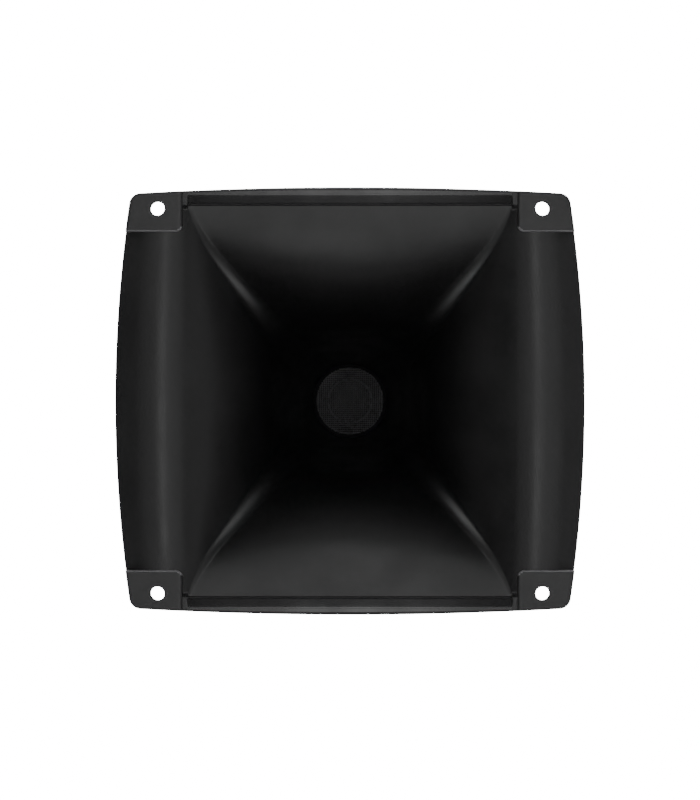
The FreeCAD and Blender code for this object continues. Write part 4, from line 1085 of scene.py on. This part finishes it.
top_plate = turned("top_plate_turned", [
    (TOP_PLATE_BORE, Y_TOP_PLATE), (PLATE_RADIUS - EDGE, Y_TOP_PLATE), (PLATE_RADIUS, Y_TOP_PLATE + EDGE),
    (PLATE_RADIUS, Y_CARRIER - EDGE), (PLATE_RADIUS - EDGE, Y_CARRIER), (TOP_PLATE_BORE, Y_CARRIER),
])
drill(top_plate, cap_places, CAP_THREAD, CAP_THREAD_END, Y_CARRIER + CLEAR)
drill(top_plate, on_circle(RING_CIRCLE, 6, 30), RING_THREAD, RING_THREAD_END, Y_CARRIER + CLEAR, SMALL_CELLS)
drill(top_plate, on_circle(RING_CIRCLE, 2, 0), RING_THREAD, PIN_HOLE_END, Y_CARRIER + CLEAR, SMALL_CELLS)
settle(top_plate, ["top_plate"], "steel_black")
CAP_INNER, CAP_GASKET_RADIUS = 61.0, 74
cap_gasket = turned("cap_gasket_ring", [
    (CAP_INNER, Y_CARRIER), (CAP_GASKET_RADIUS, Y_CARRIER), (CAP_GASKET_RADIUS, Y_CAP), (CAP_INNER, Y_CAP),
])
drill(cap_gasket, cap_places, CAP_PASS, Y_CARRIER - CLEAR, Y_CAP + CLEAR)
settle(cap_gasket, ["cap_gasket"], "gasket_foam")

CAP_ROOF, CAP_ROUND, CAP_SINK, CAP_SINK_START, CAP_BEVEL, CAP_LIP = 5.0, 5.0, 5.2, 191.0, 6, 0.4
LEAD_PLACES, CAP_CELLS = [(-11, 44), (11, 44)], 32
SOFT = 1.2
# the rear edge is a chamfer whose two corners are softened: how far in, and how far along, from a corner
EASED = ((0.0, -SOFT), (0.12, -0.3 * SOFT), (0.46, 0.35 * SOFT), (0.8 * SOFT, 0.8 * SOFT))
roof = Y_CAP_END - CAP_ROOF
profile = [(0, roof), (CAP_INNER - CAP_BEVEL, roof), (CAP_INNER, roof - CAP_BEVEL), (CAP_INNER, Y_CAP)]
profile += [(PLATE_RADIUS - CAP_LIP, Y_CAP), (PLATE_RADIUS, Y_CAP + CAP_LIP)]
profile += [(PLATE_RADIUS - inward, Y_CAP_END - CAP_ROUND + along) for inward, along in EASED]
profile += [(PLATE_RADIUS - CAP_ROUND + along, Y_CAP_END - inward) for inward, along in reversed(EASED)]
profile.append((0, Y_CAP_END))
cap = turned("rear_cap_moulding", profile)
drill(cap, cap_places, CAP_PASS, Y_CAP - CLEAR, CAP_SINK_START + CLEAR, CAP_CELLS)
drill(cap, cap_places, CAP_SINK, CAP_SINK_START, Y_CAP_END + 2 * CLEAR)
drill(cap, LEAD_PLACES, LEAD_PASS, roof - 2 * CLEAR, Y_CAP_END + 2 * CLEAR, CAP_CELLS)
settle(cap, ["rear_cap"], "cap_plastic")
RING_BORE, RING_FRONT, SCREEN_RING_CELLS = 16.7, 132.6, 128
ring_piece = turned("screen_ring_turned", [
    (RING_BORE, RING_FRONT + 0.1), (RING_BORE + 0.8, RING_FRONT), (POLE_BORE, RING_FRONT),
    (POLE_BORE, RING_SEAT), (RING_BORE, RING_SEAT),
], SCREEN_RING_CELLS)
# painted shade: the ring's dark look, which settle keeps instead of steel_black
ring_piece.data.materials.append(MATERIALS["ring_painted_shade"])
settle(ring_piece, ["screen_ring"], "steel_black")


# --- Woven screen in the throat ---
SCREEN_RADIUS, SCREEN_PITCH, WIRE_RADIUS, WIRE_SIDES = 17.4, 1.03, 0.15, 6
SCREEN_Y, SCREEN_WAVE = 132.3, 0.15
FLAT_SHARE = 0.22


def woven_screen():
    shell = Shell()
    reach = int(SCREEN_RADIUS / SCREEN_PITCH)
    for along_x in (True, False):
        for wire in range(-reach, reach + 1):
            across = wire * SCREEN_PITCH
            length = sqrt(max(0.0, SCREEN_RADIUS ** 2 - across ** 2))
            last = int(length / SCREEN_PITCH)
            if last < 1:
                continue
            line = []
            for crossing in range(-last, last + 1):
                over = (crossing + wire) % 2 == 0
                lift = SCREEN_WAVE * (1 if over == along_x else -1)
                for shift in (-FLAT_SHARE, FLAT_SHARE):
                    line.append(((crossing + shift) * SCREEN_PITCH, lift))
            if length - line[-1][0] > WIRE_RADIUS:
                line = [(-length, 0.0)] + line + [(length, 0.0)]
            rings = []
            for place, lift in line:
                loop = []
                for side in range(WIRE_SIDES):
                    angle = 2 * pi * side / WIRE_SIDES
                    beside = across + WIRE_RADIUS * cos(angle)
                    y = SCREEN_Y + lift + WIRE_RADIUS * sin(angle)
                    loop.append((place, y, beside) if along_x else (beside, y, place))
                rings.append(loop)
            shell.capped(rings)
    return shell


screen = close_and_orient(woven_screen(), "throat_screen_weave")
settle(screen, ["throat_screen"], "screen_wire")


# --- Push terminals: springs as real coils, and small parts with softened edges ---
TERMINAL_X, TERMINAL_Z = 11.0, 44.0
SPRING_LOW, SPRING_HIGH, SPRING_RADIUS, SPRING_WIRE = 210.05, 220.15, 3.0, 0.25
SPRING_TURNS, TURN_CELLS, SPRING_SIDES, BUTTON_TRAVEL = 8.0, 24, 8, 3.0


def coil(x):
    """A compression spring with closed ends: its pitch is small in the first and last turn."""
    shell = Shell()
    low, high = SPRING_LOW + SPRING_WIRE, SPRING_HIGH - SPRING_WIRE
    closed = 2 * SPRING_WIRE
    count = int(SPRING_TURNS * TURN_CELLS)
    rings = []
    for number in range(count + 1):
        turn = number / TURN_CELLS
        angle = 2 * pi * turn
        if turn < 1:
            y = low + closed * turn
        elif turn > SPRING_TURNS - 1:
            y = high - closed * (SPRING_TURNS - turn)
        else:
            y = low + closed + (high - low - 2 * closed) * (turn - 1) / (SPRING_TURNS - 2)
        loop = []
        for side in range(SPRING_SIDES):
            around = 2 * pi * side / SPRING_SIDES
            radius = SPRING_RADIUS + SPRING_WIRE * cos(around)
            loop.append((
                x + radius * cos(angle), y + SPRING_WIRE * sin(around),
                TERMINAL_Z + radius * sin(angle),
            ))
        rings.append(loop)
    shell.capped(rings)
    return shell


for word, side in (("red", -1), ("black", 1)):
    spring = close_and_orient(coil(side * TERMINAL_X), f"terminal_spring_{word}_coil")
    settle(spring, [f"terminal_spring_{word}"], "spring_steel")
    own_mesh(spring)


SAME_POINT, FLAT_DEGREES, EDGE_DEGREES, SOFT_SHARP = 1e-6, 1, 35, 30.0
BEVEL_SEGMENTS, BEVEL_PROFILE = 2, 0.6


def softened(name, node, width, finish, body="housing"):
    """A new piece with a node's shape, whose edges are rounded over a width in millimetres."""
    source = cad_objects[node]
    mesh = bpy.data.meshes.new(name)
    work = bmesh.new()
    work.from_mesh(source.data)
    work.transform(source.matrix_world)
    bmesh.ops.remove_doubles(work, verts=work.verts, dist=SAME_POINT)
    bmesh.ops.dissolve_limit(work, angle_limit=radians(FLAT_DEGREES), verts=work.verts, edges=work.edges)
    sharp = [edge for edge in work.edges
             if len(edge.link_faces) == 2 and edge.calc_face_angle() > radians(EDGE_DEGREES)]
    bmesh.ops.bevel(work, geom=sharp, offset=width * MM, segments=BEVEL_SEGMENTS, profile=BEVEL_PROFILE,
                    affect="EDGES", clamp_overlap=True)
    bmesh.ops.triangulate(work, faces=[face for face in work.faces if len(face.verts) > 4])
    bmesh.ops.recalc_face_normals(work, faces=work.faces)
    work.to_mesh(mesh)
    work.free()
    settle(finish_mesh(name, mesh, SOFT_SHARP), [node], finish, body)


cad_objects = {}
for item in bpy.context.scene.objects:
    if item.get("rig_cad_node"):
        cad_objects[item["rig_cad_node"]] = item
softened("terminal_block_moulding", "terminal_block", 0.35, "block_plastic")
softened("terminal_button_red_cap", "terminal_button_red", 0.3, "button_red", "red_button")
softened("terminal_button_black_cap", "terminal_button_black", 0.3, "button_black", "black_button")
softened("driver_bolts_socket", "driver_bolts", 0.3, "steel_zinc")
softened("cap_screws_socket", "cap_screws", 0.3, "steel_screw")
softened("terminal_screws_socket", "terminal_screws", 0.2, "steel_zinc")


# --- Foam in the rear cap, and the finish of everything that keeps its CAD shape ---
FOAM_LOW, FOAM_HIGH, FOAM_RADIUS, FOAM_SOFT, FOAM_CELLS = 195.0, 201.0, 52.0, 1.5, 96
NOTCH_HALF, NOTCH_LOW, NOTCH_HIGH = 17.0, 34.0, 60.0
foam_profile = [(0, FOAM_LOW)]
for turn in range(0, 91, 15):
    angle = radians(turn)
    foam_profile.append((FOAM_RADIUS - FOAM_SOFT + FOAM_SOFT * sin(angle),
                         FOAM_LOW + FOAM_SOFT - FOAM_SOFT * cos(angle)))
foam_profile += [(r, FOAM_LOW + FOAM_HIGH - y) for r, y in reversed(foam_profile)]
foam = turned("cap_foam_disc", foam_profile, FOAM_CELLS)
notch = Shell()
notch_sides = [(-NOTCH_HALF, NOTCH_LOW), (NOTCH_HALF, NOTCH_LOW)]
notch_sides += [(NOTCH_HALF, NOTCH_HIGH), (-NOTCH_HALF, NOTCH_HIGH)]
notch.capped([[(x, y, z) for x, z in notch_sides] for y in (FOAM_LOW - CLEAR, FOAM_HIGH + CLEAR)])
cut_away(foam, close_and_orient(notch, "cap_foam_notch"))
settle(foam, ["cap_foam"], "gasket_foam")

CAD_FINISHES = {
    "driver_washers": "steel_zinc", "phase_plug": "plug_plastic", "diaphragm_dome": "dome_metal",
    "diaphragm_surround": "surround_film", "voice_coil_former": "former_film", "voice_coil": "copper",
    "diaphragm_ring": "ring_aluminium", "diaphragm_screws": "steel_zinc", "locating_pins": "steel_zinc",
    "solder_tabs": "brass", "lead_wire_red": "wire_red", "lead_wire_black": "wire_black",
    "terminal_contacts": "brass",
}
for node, finish in CAD_FINISHES.items():
    item = cad_objects[node]
    item.data.materials.clear()
    item.data.materials.append(MATERIALS[finish])
